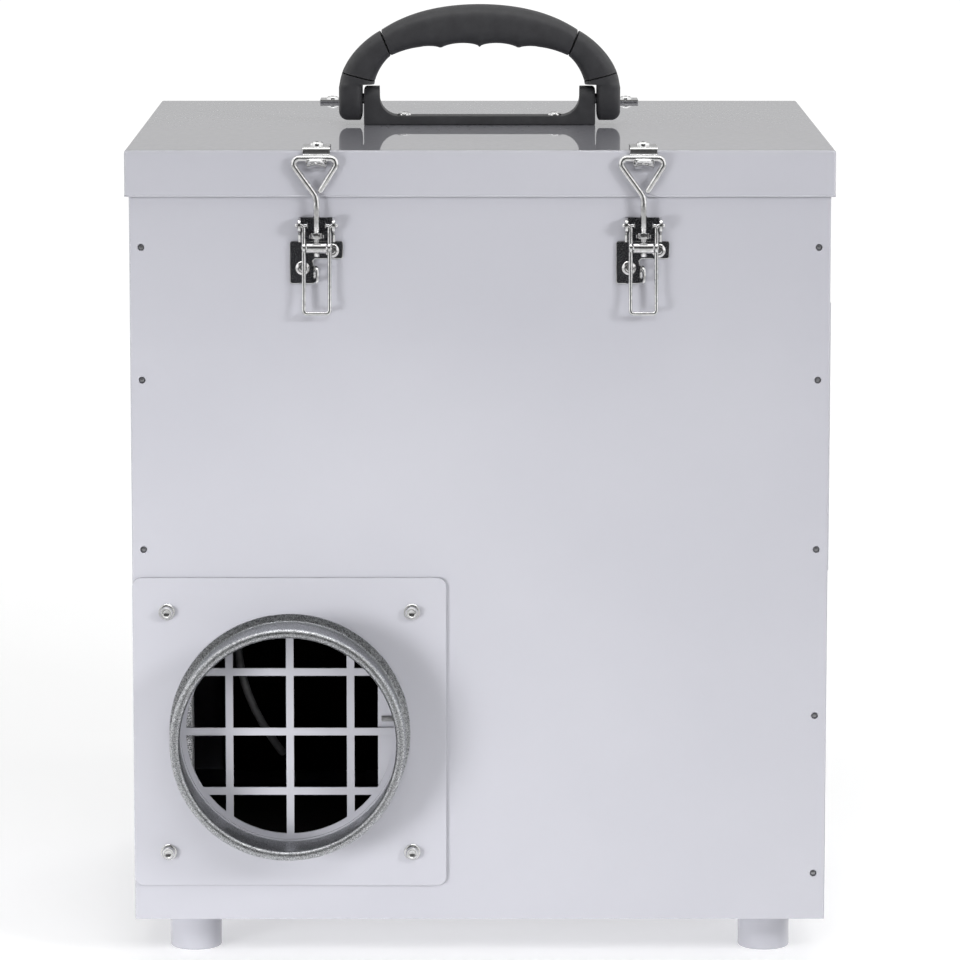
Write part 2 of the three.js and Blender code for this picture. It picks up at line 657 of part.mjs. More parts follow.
function handleBase() {
  const inner = POST_OUT - POST_W;
  const fillet = 11;
  const shape = new THREE.Shape();
  shape.moveTo(-POST_OUT, GAP);
  shape.lineTo(POST_OUT, GAP);
  shape.lineTo(POST_OUT, POST_TOP - 2);
  shape.lineTo(POST_OUT - 2, POST_TOP);
  shape.lineTo(inner, POST_TOP);
  shape.lineTo(inner, BASE_T + fillet);
  shape.absarc(inner - fillet, BASE_T + fillet, fillet, 0, -Math.PI / 2, true);
  shape.absarc(-inner + fillet, BASE_T + fillet, fillet, -Math.PI / 2, -Math.PI, true);
  shape.lineTo(-inner, POST_TOP);
  shape.lineTo(-POST_OUT + 2, POST_TOP);
  shape.lineTo(-POST_OUT, POST_TOP - 2);
  // The posts' tops are round about the pivot, so that the arch swings over them.
  const side = new THREE.Shape();
  const roundR = BASE_DEPTH / 2;
  side.moveTo(-roundR, GAP - 1);
  side.lineTo(roundR, GAP - 1);
  side.lineTo(roundR, PIVOT_H);
  side.absarc(0, PIVOT_H, roundR, 0, Math.PI);
  const front = facePlate(shape, -BASE_DEPTH / 2, BASE_DEPTH);
  const body = common(front, sidePlate(side, -POST_OUT - 1, 2 * POST_OUT + 2));
  const pieces = [body];
  for (const sign of [-1, 1]) {
    const [from, to] = sign > 0 ? [POST_OUT - 2, POST_OUT + 9] : [-POST_OUT - 9, -POST_OUT + 2];
    pieces.push(rod('x', 3, from, to, 0, PIVOT_H, 12));
    pieces.push(rod('z', 4, BASE_T - 0.5, BASE_T + 2, sign * BASE_SCREW_X, 0, 14));
    pieces.push(rod('z', SHANK_R, -SHEET - 5, BASE_T, sign * BASE_SCREW_X, 0, 8));
  }
  return join(...pieces);
}

// The whole arch seen from the front, from the pivots' legs to the crown.
function archOutline() {
  const outer = [[HANDLE_HALF_W - 0.3, 22], [72.6, 41], SPLIT_OUT, [30.5, 65.6], [0, HANDLE_H]];
  const inner = [ARCH_TAIL, [54.8, 35], [44, 41.6], [1.5 * GROOVE_PITCH, GROOVE_TOP - 0.6]];
  const legIn = HANDLE_HALF_W - LEG_T;
  const legFoot = PIVOT_H - HANDLE_DEPTH / 2;
  const mirrored = ([x, h]) => new THREE.Vector2(-x, h);
  const plain = ([x, h]) => new THREE.Vector2(x, h);
  const outline = new THREE.Shape();
  outline.moveTo(legIn, legFoot);
  outline.lineTo(HANDLE_HALF_W - 5, legFoot);
  outline.quadraticCurveTo(HANDLE_HALF_W, legFoot, HANDLE_HALF_W, legFoot + 6);
  outline.lineTo(...outer[0]);
  outline.splineThru(outer.slice(1).map(plain));
  outline.splineThru(outer.slice(0, -1).reverse().map(mirrored));
  outline.lineTo(-HANDLE_HALF_W, legFoot + 6);
  outline.quadraticCurveTo(-HANDLE_HALF_W, legFoot, -HANDLE_HALF_W + 5, legFoot);
  outline.lineTo(-legIn, legFoot);
  outline.lineTo(-legIn, ARCH_TAIL[1]);
  outline.lineTo(-ARCH_TAIL[0], ARCH_TAIL[1]);
  outline.splineThru(inner.slice(1).map(mirrored));
  // Finger grooves, round lobes that meet in cusps at the middle and a pitch to either side of it.
  const lobe = (x, h) => outline.splineThru([plain([x - GROOVE_PITCH / 2, GROOVE_TOP]), plain([x, h])]);
  lobe(-GROOVE_PITCH, GROOVE_CUSP - 1);
  lobe(0, GROOVE_CUSP);
  lobe(GROOVE_PITCH, GROOVE_CUSP - 1);
  outline.splineThru([...inner].reverse().map(plain));
  outline.lineTo(legIn, ARCH_TAIL[1]);
  return outline;
}

function archSolid() {
  const front = facePlate(archOutline(), -HANDLE_DEPTH / 2, HANDLE_DEPTH, 6);
  const side = new THREE.Shape();
  const half = HANDLE_DEPTH / 2;
  const crown = 8;
  side.absarc(0, PIVOT_H, half, Math.PI, 2 * Math.PI);
  side.lineTo(half, HANDLE_H - crown);
  side.quadraticCurveTo(half, HANDLE_H + 1, 0, HANDLE_H + 1);
  side.quadraticCurveTo(-half, HANDLE_H + 1, -half, HANDLE_H - crown);
  return common(front, sidePlate(side, -HANDLE_HALF_W - 1, 2 * HANDLE_HALF_W + 2, 6));
}

// A wedge-shaped tool that holds everything on the crown's side of both split lines.
function crownRegion(inset) {
  const [ox, oh] = SPLIT_OUT;
  const [ix, ih] = SPLIT_IN;
  const run = [ox - ix, oh - ih];
  const at = (t) => [ix + run[0] * t - inset, ih + run[1] * t];
  const low = at(-1);
  const high = at(2.5);
  const region = polygon([[-low[0], low[1]], [low[0], low[1]], high, [-high[0], high[1]]]);
  return facePlate(region, -HANDLE_DEPTH, 2 * HANDLE_DEPTH);
}

function handleLeg(sign) {
  const bigX = 2 * HANDLE_HALF_W;
  const half = sign > 0 ? span(1, bigX, -50, 50, -10, 200) : span(-bigX, -1, -50, 50, -10, 200);
  const leg = cut(common(archSolid(), half), crownRegion(0));
  const pinHole = [POST_OUT - 2, POST_OUT + 10];
  const [from, to] = sign > 0 ? pinHole : [-pinHole[1], -pinHole[0]];
  return cut(leg, rod('x', 3 + GAP, from, to, 0, PIVOT_H, 12));
}

const handle = new THREE.Group();
handle.position.z = LID_TOP;
add(handle, 'handle_base', handleBase(), handlePlastic);
add(handle, 'handle_leg_left', handleLeg(-1), handlePlastic);
add(handle, 'handle_leg_right', handleLeg(1), handlePlastic);
add(handle, 'handle_grip', common(archSolid(), crownRegion(GAP)), handlePlastic);
machine.add(handle);

// ---------------------------------------------------------------- desiccant rotor and its drive
const HUB_R = 18;
const SEAL_R = ROTOR_R - 15;
const BELT_Z = ROTOR_Z + ROTOR_H / 2 - BELT_W / 2;

function circleOutline(radius, sides, x = 0, y = 0) {
  const corners = [];
  for (let i = 0; i < sides; i += 1) {
    const angle = (2 * Math.PI * i) / sides;
    corners.push([x + radius * Math.cos(angle), y + radius * Math.sin(angle)]);
  }
  return polygon(corners);
}

function midDeck() {
  const x = INNER_X - GAP;
  const y = INNER_Y - GAP - SHEET - GAP;
  const deck = polygon([[-x, -y], [x, -y], [x, y], [-x, y]]);
  deck.holes.push(circleOutline(SEAL_R, 28));
  deck.holes.push(circleOutline(9, 12, -INNER_X + 40, -INNER_Y + 60));
  return flatPlate(deck, DECK_Z, SHEET);
}

function rotorCassette() {
  const half = CASSETTE_HALF;
  const post = 9;
  const postTop = ROTOR_Z + ROTOR_H + 4;
  const armW = 14;
  const z1 = CASSETTE_Z + SHEET;
  const ring = cut(
    span(-half, half, -half, half, CASSETTE_Z, z1),
    rod('z', SEAL_R, CASSETTE_Z - 1, z1 + 1, 0, 0, 28),
  );
  const arms = [
    span(-SEAL_R - 2, SEAL_R + 2, -armW / 2, armW / 2, CASSETTE_Z, z1),
    span(-armW / 2, armW / 2, -SEAL_R - 2, SEAL_R + 2, CASSETTE_Z, z1),
    rod('z', HUB_R, CASSETTE_Z, z1, 0, 0, 18),
  ];
  const posts = [[-1, -1], [-1, 1], [1, 1]].map(([i, k]) => {
    const [x, y] = [i * (half - post), k * (half - post)];
    return span(x - post, x + post, y - post, y + post, CASSETTE_Z, postTop);
  });
  const bore = rod('z', AXLE_R + GAP, CASSETTE_Z - 1, z1 + 1, 0, 0, 16);
  const motorRoom = rod('z', MOTOR_R + 1, CASSETTE_Z - 1, z1 + 1, PULLEY_X, PULLEY_Y, 20);
  return cut(join(ring, ...arms, ...posts), bore, motorRoom);
}

function desiccantRotor() {
  const bore = AXLE_R + GAP;
  const z1 = ROTOR_Z + ROTOR_H;
  const rim = 4;
  return turned([
    [bore, ROTOR_Z], [HUB_R, ROTOR_Z], [HUB_R, ROTOR_Z + 2], [ROTOR_R - rim, ROTOR_Z + 2],
    [ROTOR_R - rim, ROTOR_Z], [ROTOR_R, ROTOR_Z], [ROTOR_R, z1], [ROTOR_R - rim, z1],
    [ROTOR_R - rim, z1 - 2], [HUB_R, z1 - 2], [HUB_R, z1], [bore, z1],
  ], 32);
}

function rotorAxle() {
  const under = DECK_Z - 6;
  const seat = CASSETTE_Z + SHEET + GAP;
  const top = ROTOR_Z + ROTOR_H;
  return turned([
    [0, under], [AXLE_R, under], [AXLE_R, seat], [HUB_R - 4, seat], [HUB_R - 4, ROTOR_Z - GAP],
    [AXLE_R, ROTOR_Z - GAP], [AXLE_R, top + GAP], [HUB_R - 6, top + GAP], [HUB_R - 6, top + 2], [0, top + 2],
  ], 16);
}

// Outline of a belt round two wheels, offset from both by the same amount.
function beltOutline(offset) {
  const distance = Math.hypot(PULLEY_X, PULLEY_Y);
  const heading = Math.atan2(PULLEY_Y, PULLEY_X);
  const lean = Math.acos((ROTOR_R - PULLEY_R) / distance);
  const arc = (x, y, radius, from, to, steps) => Array.from({ length: steps + 1 }, (_, i) => {
    const angle = from + ((to - from) * i) / steps;
    return [x + radius * Math.cos(angle), y + radius * Math.sin(angle)];
  });
  return polygon([
    ...arc(0, 0, ROTOR_R + offset, heading + lean, heading + 2 * Math.PI - lean, 34),
    ...arc(PULLEY_X, PULLEY_Y, PULLEY_R + offset, heading - lean, heading + lean, 8),
  ]);
}

function driveBelt() {
  const outline = beltOutline(GAP + 0.3 + BELT_T);
  outline.holes.push(beltOutline(GAP + 0.3));
  return flatPlate(outline, BELT_Z, BELT_W);
}

function gearMotor() {
  const z1 = CASSETTE_Z + MOTOR_H;
  const shaftTop = BELT_Z + BELT_W + 1;
  const half = [[0, CASSETTE_Z], [MOTOR_R, CASSETTE_Z], [MOTOR_R, z1], [7, z1], [7, z1 + 3]];
  half.push([MOTOR_SHAFT_R, z1 + 3], [MOTOR_SHAFT_R, shaftTop], [0, shaftTop]);
  return turned(half, 20).translate(PULLEY_X, PULLEY_Y, 0);
}

function motorPulley() {
  const bore = MOTOR_SHAFT_R + GAP;
  const flange = PULLEY_R + 3;
  const [z0, z1] = [BELT_Z - 2.5, BELT_Z + BELT_W + 2.5];
  return turned([
    [bore, z0], [flange, z0], [flange, z0 + 2], [PULLEY_R, z0 + 2], [PULLEY_R, z1 - 2], [flange, z1 - 2],
    [flange, z1], [bore, z1],
  ], 20).translate(PULLEY_X, PULLEY_Y, 0);
}

add(machine, 'mid_deck', midDeck(), galvanised);
add(machine, 'rotor_cassette', rotorCassette(), galvanised);
add(machine, 'desiccant_rotor', desiccantRotor(), desiccant);
add(machine, 'rotor_axle', rotorAxle(), bareSteel);
add(machine, 'drive_belt', driveBelt(), rubber);
add(machine, 'gear_motor', gearMotor(), blackPlastic);
add(machine, 'motor_pulley', motorPulley(), blackPlastic);

// ---------------------------------------------------------------- regeneration hood and blower
const HOOD_FROM = THREE.MathUtils.degToRad(2);
const HOOD_TO = THREE.MathUtils.degToRad(84);
const BLOWER_IN_R = 28;

function sectorOutline(innerR, outerR, from, to, steps) {
  const corners = [];
  for (let i = 0; i <= steps; i += 1) {
    const angle = from + ((to - from) * i) / steps;
    corners.push([outerR * Math.cos(angle), outerR * Math.sin(angle)]);
  }
  for (let i = 2; i >= 0; i -= 1) {
    const angle = from + ((to - from) * i) / 2;
    corners.push([innerR * Math.cos(angle), innerR * Math.sin(angle)]);
  }
  return polygon(corners);
}

function regenHood() {
  const outer = flatPlate(sectorOutline(HUB_R + 6, ROTOR_R - 2, HOOD_FROM, HOOD_TO, 12), HOOD_Z, HOOD_H);
  const inset = THREE.MathUtils.degToRad(3);
  const inner = sectorOutline(HUB_R + 10, ROTOR_R - 4, HOOD_FROM + inset, HOOD_TO - inset, 12);
  return cut(
    outer,
    flatPlate(inner, HOOD_Z - 1, HOOD_H - 1),
    rod('z', BLOWER_IN_R, HOOD_Z - 1, HOOD_Z + HOOD_H + 1, BLOWER_X, BLOWER_Y, 20),
  );
}

function regenBlower() {
  const wall = 2;
  const z1 = BLOWER_Z + BLOWER_H;
  const end = INNER_Y - GAP;
  const shell = join(
    rod('z', BLOWER_R, BLOWER_Z, z1, BLOWER_X, BLOWER_Y, 20),
    rod('y', BLOWER_OUT_R, BLOWER_Y, end, WET_X, WET_Z, 16),
  );
  return cut(
    shell,
    rod('z', BLOWER_R - wall, BLOWER_Z + wall, z1 - wall, BLOWER_X, BLOWER_Y, 20),
    rod('z', BLOWER_IN_R, BLOWER_Z - 1, BLOWER_Z + wall + 1, BLOWER_X, BLOWER_Y, 20),
    rod('y', BLOWER_OUT_R - wall, BLOWER_Y, end + 1, WET_X, WET_Z, 16),
  );
}

// Blades of a fan wheel about Z: plates swept back from the wheel's radius.
function blades(count, innerR, outerR, sweep, thickness, z0, z1) {
  const list = [];
  for (let i = 0; i < count; i += 1) {
    const blade = span(innerR, outerR, -thickness / 2, thickness / 2, z0, z1);
    blade.translate(-innerR, 0, 0).rotateZ(sweep).translate(innerR, 0, 0);
    list.push(blade.rotateZ((2 * Math.PI * i) / count));
  }
  return list;
}

function regenImpeller() {
  const z0 = BLOWER_Z + 6;
  const z1 = BLOWER_Z + BLOWER_H - 8;
  const wheelR = BLOWER_R - 13;
  const wheel = join(
    rod('z', wheelR, z1 - 2, z1, 0, 0, 24),
    rod('z', 9, z0 + 8, z1, 0, 0, 12),
    ...blades(12, wheelR - 12, wheelR, 0.5, 1.6, z0, z1 - 1),
  );
  return wheel.translate(BLOWER_X, BLOWER_Y, 0);
}

const wetSpigot = spigot(WET_D, DUCT_REACH - GAP, 28);
wetSpigot.rotateX(-Math.PI / 2).translate(WET_X, FACE_Y + GAP, WET_Z);
add(machine, 'regen_hood', regenHood(), galvanised);
add(machine, 'regen_blower_housing', regenBlower(), blackPlastic);
add(machine, 'regen_impeller', regenImpeller(), blackPlastic);
add(machine, 'wet_air_spigot', wetSpigot, galvanised);

// ---------------------------------------------------------------- process fan in the lower plenum
const FAN_Z = FOOT_H + Math.round(0.444 * DECK_UP);
const FAN_H = Math.round(DECK_UP / 3);
const FAN_MOTOR_R = 44;

function processImpeller() {
  const z1 = FAN_Z + FAN_H;
  const eyeR = 0.62 * FAN_R;
  const shroud = cut(
    rod('z', FAN_R, z1 - 2, z1, 0, 0, 26),
    rod('z', eyeR, z1 - 3, z1 + 1, 0, 0, 22),
  );
  const wheel = join(
    rod('z', FAN_R, FAN_Z, FAN_Z + 2, 0, 0, 26),
    rod('z', 16, FAN_Z, FAN_Z + 20, 0, 0, 16),
    shroud,
    ...blades(8, eyeR - 6, FAN_R - 2, -0.9, 1.8, FAN_Z + 1, z1 - 1),
  );
  return wheel.translate(FAN_X, FAN_Y, 0);
}

function processMotor() {
  const base = FOOT_H + SHEET + GAP;
  const top = FAN_Z - GAP;
  const footR = FAN_MOTOR_R + 12;
  const neckR = FAN_MOTOR_R - 8;
  const half = [[0, base], [footR, base], [footR, base + 3], [neckR, base + 3], [neckR, base + 12]];
  half.push([FAN_MOTOR_R, base + 14], [FAN_MOTOR_R, top - 6], [FAN_MOTOR_R - 6, top], [0, top]);
  return turned(half, 22).translate(FAN_X, FAN_Y, 0);
}

add(machine, 'process_impeller', processImpeller(), blackPlastic);
add(machine, 'process_motor', processMotor(), bareSteel);

// ---------------------------------------------------------------- intake grille and filter
const GRILLE_T = 3;

function intakeGrille() {
  const half = GRILLE_W / 2;
  const tall = GRILLE_H / 2;
  const plate = roundedRectangle(GRILLE_X - half, GRILLE_X + half, GRILLE_Z - tall, GRILLE_Z + tall, 6);
  const count = 8;
  const open = half - GRILLE_FRAME - 4;
  const pitch = (GRILLE_H - 2 * GRILLE_FRAME - 6) / count;
  const slots = [];
  for (let i = 0; i < count; i += 1) {
    const middle = GRILLE_Z + (i - (count - 1) / 2) * pitch;
    const [low, high] = [middle - pitch * 0.3, middle + pitch * 0.3];
    for (const [x0, x1] of [[-open, -3], [3, open]]) {
      slots.push(span(GRILLE_X + x0, GRILLE_X + x1, FACE_Y - 1, FACE_Y + GRILLE_T + 2, low, high));
    }
  }
  return cut(facePlate(plate, FACE_Y + GAP, GRILLE_T, 4), ...slots);
}

function airFilter() {
  const half = GRILLE_W / 2 - 6;
  const [z0, z1] = [DECK_TOP + 4, GRILLE_Z + GRILLE_H / 2 + 4];
  const outer = INNER_Y - GAP - SHEET - GAP - 1;
  const depth = 0.472 * (outer - CASSETTE_HALF); // of the space behind the cassette
  const pleats = 16;
  const edge = 6;
  const step = (2 * half - 2 * edge) / pleats;
  const corners = [[-half, outer], [-half, outer - depth], [-half + edge, outer - depth]];
  for (let i = 0; i < pleats; i += 1) {
    const x = -half + edge + i * step;
    corners.push([x + step / 2, outer - depth / 2], [x + step, outer - depth]);
  }
  corners.push([half, outer - depth], [half, outer]);
  return flatPlate(polygon(corners), z0, z1 - z0).translate(GRILLE_X, 0, 0);
}

add(machine, 'intake_grille', intakeGrille(), paint);
add(machine, 'air_filter', airFilter(), filterCloth);

// ---------------------------------------------------------------- controls
const PANEL_T = 2;
const SWITCH_X = PANEL_X - 47;
const KNOB_X = PANEL_X - 3;
const INLET_X = PANEL_X + 44;
const KEY_W = 11;
const KEY_H = 19;
const KNOB_SHAFT_R = 3;
const INLET_W = 27;
const INLET_H = 20;
const PANEL_Y = FACE_Y + GAP;
const PANEL_FACE = PANEL_Y + PANEL_T;

function controlPanel() {
  const [w, h] = [PANEL_W / 2, PANEL_H / 2];
  const plate = roundedRectangle(PANEL_X - w, PANEL_X + w, PANEL_Z - h, PANEL_Z + h, 5);
  const bezel = 2.5;
  const [kw, kh] = [KEY_W / 2 + 0.5, KEY_H / 2 + 0.8];
  const [fw, fh] = [kw + bezel, kh + bezel];
  const frame = span(
    SWITCH_X - fw, SWITCH_X + fw, PANEL_Y, PANEL_FACE + 2, PANEL_Z - fh, PANEL_Z + fh,
  );
  return cut(
    join(facePlate(plate, PANEL_Y, PANEL_T, 4), frame),
    span(SWITCH_X - kw, SWITCH_X + kw, PANEL_Y - 1, PANEL_FACE + 3, PANEL_Z - kh, PANEL_Z + kh),
    rod('y', KNOB_SHAFT_R + GAP, PANEL_Y - 1, PANEL_FACE + 1, KNOB_X, PANEL_Z, 12),
    span(
      INLET_X - INLET_W / 2 - GAP, INLET_X + INLET_W / 2 + GAP, PANEL_Y - 1, PANEL_FACE + 1,
      PANEL_Z - INLET_H / 2 - GAP, PANEL_Z + INLET_H / 2 + GAP,
    ),
  );
}

// The key is drawn level about its pivot and then tipped to its off position.
const KEY_TILT = THREE.MathUtils.degToRad(7);

function rockerSwitch() {
  const half = KEY_H / 2;
  const outline = polygon([
    [3.4, -half], [3.4, -half + 0.8], [2.2, 0], [3.4, half - 0.8], [3.4, half], [-1, half - 0.2], [-5, 4],
    [-5, -4], [-1, -half + 0.2],
  ].reverse());
  const key = sidePlate(outline, SWITCH_X - KEY_W / 2, KEY_W);
  return key.rotateX(KEY_TILT).translate(0, PANEL_FACE, PANEL_Z);
}

function humidistatKnob() {
  const knobR = 14;
  const length = 14;
  const half = [[0, -8], [KNOB_SHAFT_R, -8], [KNOB_SHAFT_R, GAP], [knobR + 1.5, GAP], [knobR + 1.5, 2.5]];
  half.push([knobR, 4], [knobR - 1, length - 1], [knobR - 2.5, length], [0, length]);
  const pointer = span(-1.1, 1.1, -knobR + 1, 2, length - 1, length + 1.2);
  const knob = join(turned(half, 24), pointer);
  // At rest the pointer is at the low end of its scale.
  return knob.rotateX(-Math.PI / 2).rotateY(0.75 * Math.PI).translate(KNOB_X, PANEL_FACE, PANEL_Z);
}

function powerInlet() {
  const [w, h] = [INLET_W / 2, INLET_H / 2];
  const depth = 18;
  const outer = PANEL_FACE + 2.2;
  const rim = 2.5;
  const body = join(
    span(INLET_X - w, INLET_X + w, PANEL_FACE - depth, outer - 1, PANEL_Z - h, PANEL_Z + h),
    span(INLET_X - w - rim, INLET_X + w + rim, PANEL_FACE + GAP, outer, PANEL_Z - h - rim, PANEL_Z + h + rim),
  );
  const wall = 1.8;
  const bevel = 6; // of the recess's two upper corners
  const recess = polygon([
    [-w + wall, -h + wall], [w - wall, -h + wall], [w - wall, h - bevel], [w - bevel, h - wall],
    [-w + bevel, h - wall], [-w + wall, h - bevel],
  ]);
  const hollow = facePlate(recess, PANEL_FACE - depth + 3, depth + 4).translate(INLET_X, 0, PANEL_Z);
  const pins = [[-7, -1.5], [0, 2.5], [7, -1.5]].map(([x, z]) => {
    const [cx, cz] = [INLET_X + x, PANEL_Z + z];
    return span(cx - 1, cx + 1, PANEL_FACE - depth + 2, PANEL_FACE - 5, cz - 2, cz + 2);
  });
  return join(cut(body, hollow), ...pins);
}

add(machine, 'control_panel', controlPanel(), blackPlastic);
add(machine, 'rocker_switch', rockerSwitch(), blackPlastic);
add(machine, 'humidistat_knob', humidistatKnob(), blackPlastic);
add(machine, 'power_inlet', powerInlet(), blackPlastic);

export default machine;
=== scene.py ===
"""A portable desiccant dehumidifier: a satin painted sheet-metal box with a latched lid, a folding
handle, a round duct spigot in front and its service side at the rear. Shapes are drawn in
millimetres and become metres when a mesh is made. +Z is up and the front looks towards -Y."""
import json
import math

import bmesh
import bpy
from mathutils import Matrix, Vector


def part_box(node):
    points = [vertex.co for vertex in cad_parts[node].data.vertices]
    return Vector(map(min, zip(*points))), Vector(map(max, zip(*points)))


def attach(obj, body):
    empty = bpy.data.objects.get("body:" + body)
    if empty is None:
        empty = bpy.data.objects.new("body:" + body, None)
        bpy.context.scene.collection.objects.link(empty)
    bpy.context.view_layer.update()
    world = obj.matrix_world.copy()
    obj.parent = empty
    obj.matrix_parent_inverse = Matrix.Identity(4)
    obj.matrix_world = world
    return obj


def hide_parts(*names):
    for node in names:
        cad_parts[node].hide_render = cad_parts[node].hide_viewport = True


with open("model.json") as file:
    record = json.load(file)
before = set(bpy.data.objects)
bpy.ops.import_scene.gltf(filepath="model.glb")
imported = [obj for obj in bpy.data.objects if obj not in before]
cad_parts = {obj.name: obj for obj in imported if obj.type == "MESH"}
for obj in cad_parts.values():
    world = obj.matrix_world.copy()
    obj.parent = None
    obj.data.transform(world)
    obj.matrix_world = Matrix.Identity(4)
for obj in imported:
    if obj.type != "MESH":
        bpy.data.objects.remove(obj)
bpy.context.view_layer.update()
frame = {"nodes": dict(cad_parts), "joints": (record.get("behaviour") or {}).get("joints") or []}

MM = 0.001
PI = math.pi
CORNERS = ("front_left", "front_right", "rear_left", "rear_right")


# ---------------- places read from the frame
def box_mm(node):
    low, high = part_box(node)
    return low / MM, high / MM


def joint_mm(name):
    joint = next(j for j in frame["joints"] if j["name"] == name)
    return Vector(joint["pos_m"]) / MM


FRONT_LOW, FRONT_HIGH = box_mm("front_panel")
LID_LOW, LID_HIGH = box_mm("lid_shell")
DUCT_LOW, DUCT_HIGH = box_mm("duct_spigot")
PLATE_LOW, PLATE_HIGH = box_mm("duct_plate")
WET_LOW, WET_HIGH = box_mm("wet_air_spigot")
DECK_LOW = box_mm("mid_deck")[0]
PAN_LOW, PAN_HIGH = box_mm("floor_pan")
GRILLE_LOW, GRILLE_HIGH = box_mm("intake_grille")
PANEL_LOW, PANEL_HIGH = box_mm("control_panel")
KNOB_LOW, KNOB_HIGH = box_mm("humidistat_knob")

SIDE_X = FRONT_HIGH.x
FACE_Y = -FRONT_LOW.y
WALL_Z0 = FRONT_LOW.z
WALL_Z1 = FRONT_HIGH.z
LID_TOP = LID_HIGH.z
SHEET = 1.5             # thickness of the cabinet's sheet metal
GAP = 0.3               # play between parts that only touch
DUCT_X = (DUCT_LOW.x + DUCT_HIGH.x) / 2
DUCT_Z = (DUCT_LOW.z + DUCT_HIGH.z) / 2
WET_X = (WET_LOW.x + WET_HIGH.x) / 2
WET_Z = (WET_LOW.z + WET_HIGH.z) / 2


# ---------------- camera, light and world
LENS = 198.41
CAMERA_PLACE = (-0.0049, -3.0493, 0.6994)
CAMERA_TURN = (90 - 8.465, -0.011, -0.096)      # degrees


def add_camera():
    data = bpy.data.cameras.new("camera")
    data.sensor_width = 36
    data.lens = LENS
    data.clip_end = 50
    camera = bpy.data.objects.new("camera", data)
    camera.location = CAMERA_PLACE
    camera.rotation_euler = [math.radians(turn) for turn in CAMERA_TURN]
    bpy.context.scene.collection.objects.link(camera)
    bpy.context.scene.camera = camera


def add_softbox(name, place, target, size, watts, spread=180, gloss_only=False):
    """A lamp that lights surfaces but isn't mirrored in them, or the other way round."""
    data = bpy.data.lights.new(name, "AREA")
    data.shape = "RECTANGLE"
    data.size, data.size_y = size
    data.energy = watts
    data.spread = math.radians(spread)
    lamp = bpy.data.objects.new(name, data)
    lamp.visible_diffuse = not gloss_only
    lamp.visible_glossy = gloss_only
    lamp.location = place
    aim = Vector(target) - Vector(place)
    lamp.rotation_euler = aim.to_track_quat("-Z", "Y").to_euler()
    bpy.context.scene.collection.objects.link(lamp)


def map_range(tree, source, low, high, from_value, to_value, smooth=False):
    """Turns low..high of a source into from_value..to_value."""
    node = tree.nodes.new("ShaderNodeMapRange")
    node.interpolation_type = "SMOOTHSTEP" if smooth else "LINEAR"
    limits = {"From Min": low, "From Max": high, "To Min": from_value, "To Max": to_value}
    for key, value in limits.items():
        node.inputs[key].default_value = value
    tree.links.new(source, node.inputs["Value"])
    return node.outputs["Result"]


def add_studio_walls():
    """Bright at both sides and above, less bright behind, and dark in front. Mirrored rays see it three
    times as bright, and the camera itself sees plain white."""
    world = bpy.data.worlds.new("studio")
    bpy.context.scene.world = world
    world.use_nodes = True
    tree = world.node_tree
    axes = tree.nodes.new("ShaderNodeSeparateXYZ")
    tree.links.new(tree.nodes.new("ShaderNodeTexCoord").outputs["Generated"], axes.inputs["Vector"])
    ray = tree.nodes.new("ShaderNodeLightPath").outputs

    def combine(operation, *sources):
        node = tree.nodes.new("ShaderNodeMath")
        node.operation = operation
        for source, socket in zip(sources, node.inputs):
            tree.links.new(source, socket)
        return node.outputs["Value"]

    def ramp(source, *limits):
        return map_range(tree, source, *limits, smooth=True)

    sides = ramp(combine("ABSOLUTE", axes.outputs["X"]), 0.48, 0.62, 0.0, 1.0)
    ceiling = ramp(axes.outputs["Z"], 0.55, 0.75, 0.0, 1.0)
    behind = ramp(axes.outputs["Y"], -0.2, 0.2, 0.0, 0.42)
    lit = combine("MAXIMUM", combine("MAXIMUM", sides, ceiling), behind)
    gain = ramp(ray["Is Glossy Ray"], 0.0, 1.0, 1.0, 3.0)
    strength = combine("MULTIPLY", ramp(lit, 0.0, 1.0, 0.03, 0.42), gain)
    white = map_range(tree, ray["Is Camera Ray"], 0.0, 1.0, 0.0, 1.05)
    background = tree.nodes["Background"]
    tree.links.new(combine("MAXIMUM", strength, white), background.inputs["Strength"])
    background.inputs["Color"].default_value = (1, 1, 1, 1)


add_camera()
add_studio_walls()
add_softbox("key", (-0.8, -1.1, 0.1), (-0.14, -0.18, 0.04), (0.4, 0.4), 1.5, spread=60)
add_softbox("fill", (1.4, -1.5, 0.9), (0.1, -0.18, 0.44), (0.5, 0.5), 4.0, spread=90)
add_softbox("front", (0.2, -2.2, 1.3), (0, 0, 0.25), (1.2, 0.5), 13)
add_softbox("top", (0, -0.75, 2.2), (0, 0, 0.4), (1.6, 0.3), 5)
add_softbox("back", (0.4, 2.4, 1.6), (0, 0, 0.3), (2.0, 1.2), 22)
add_softbox("edge light", (0, -0.55, 2.0), (0, -0.18, 0.45), (2.6, 0.1), 9, gloss_only=True)
bpy.context.scene.view_settings.view_transform = "Standard"


# ---------------- materials
FINISHES = {}


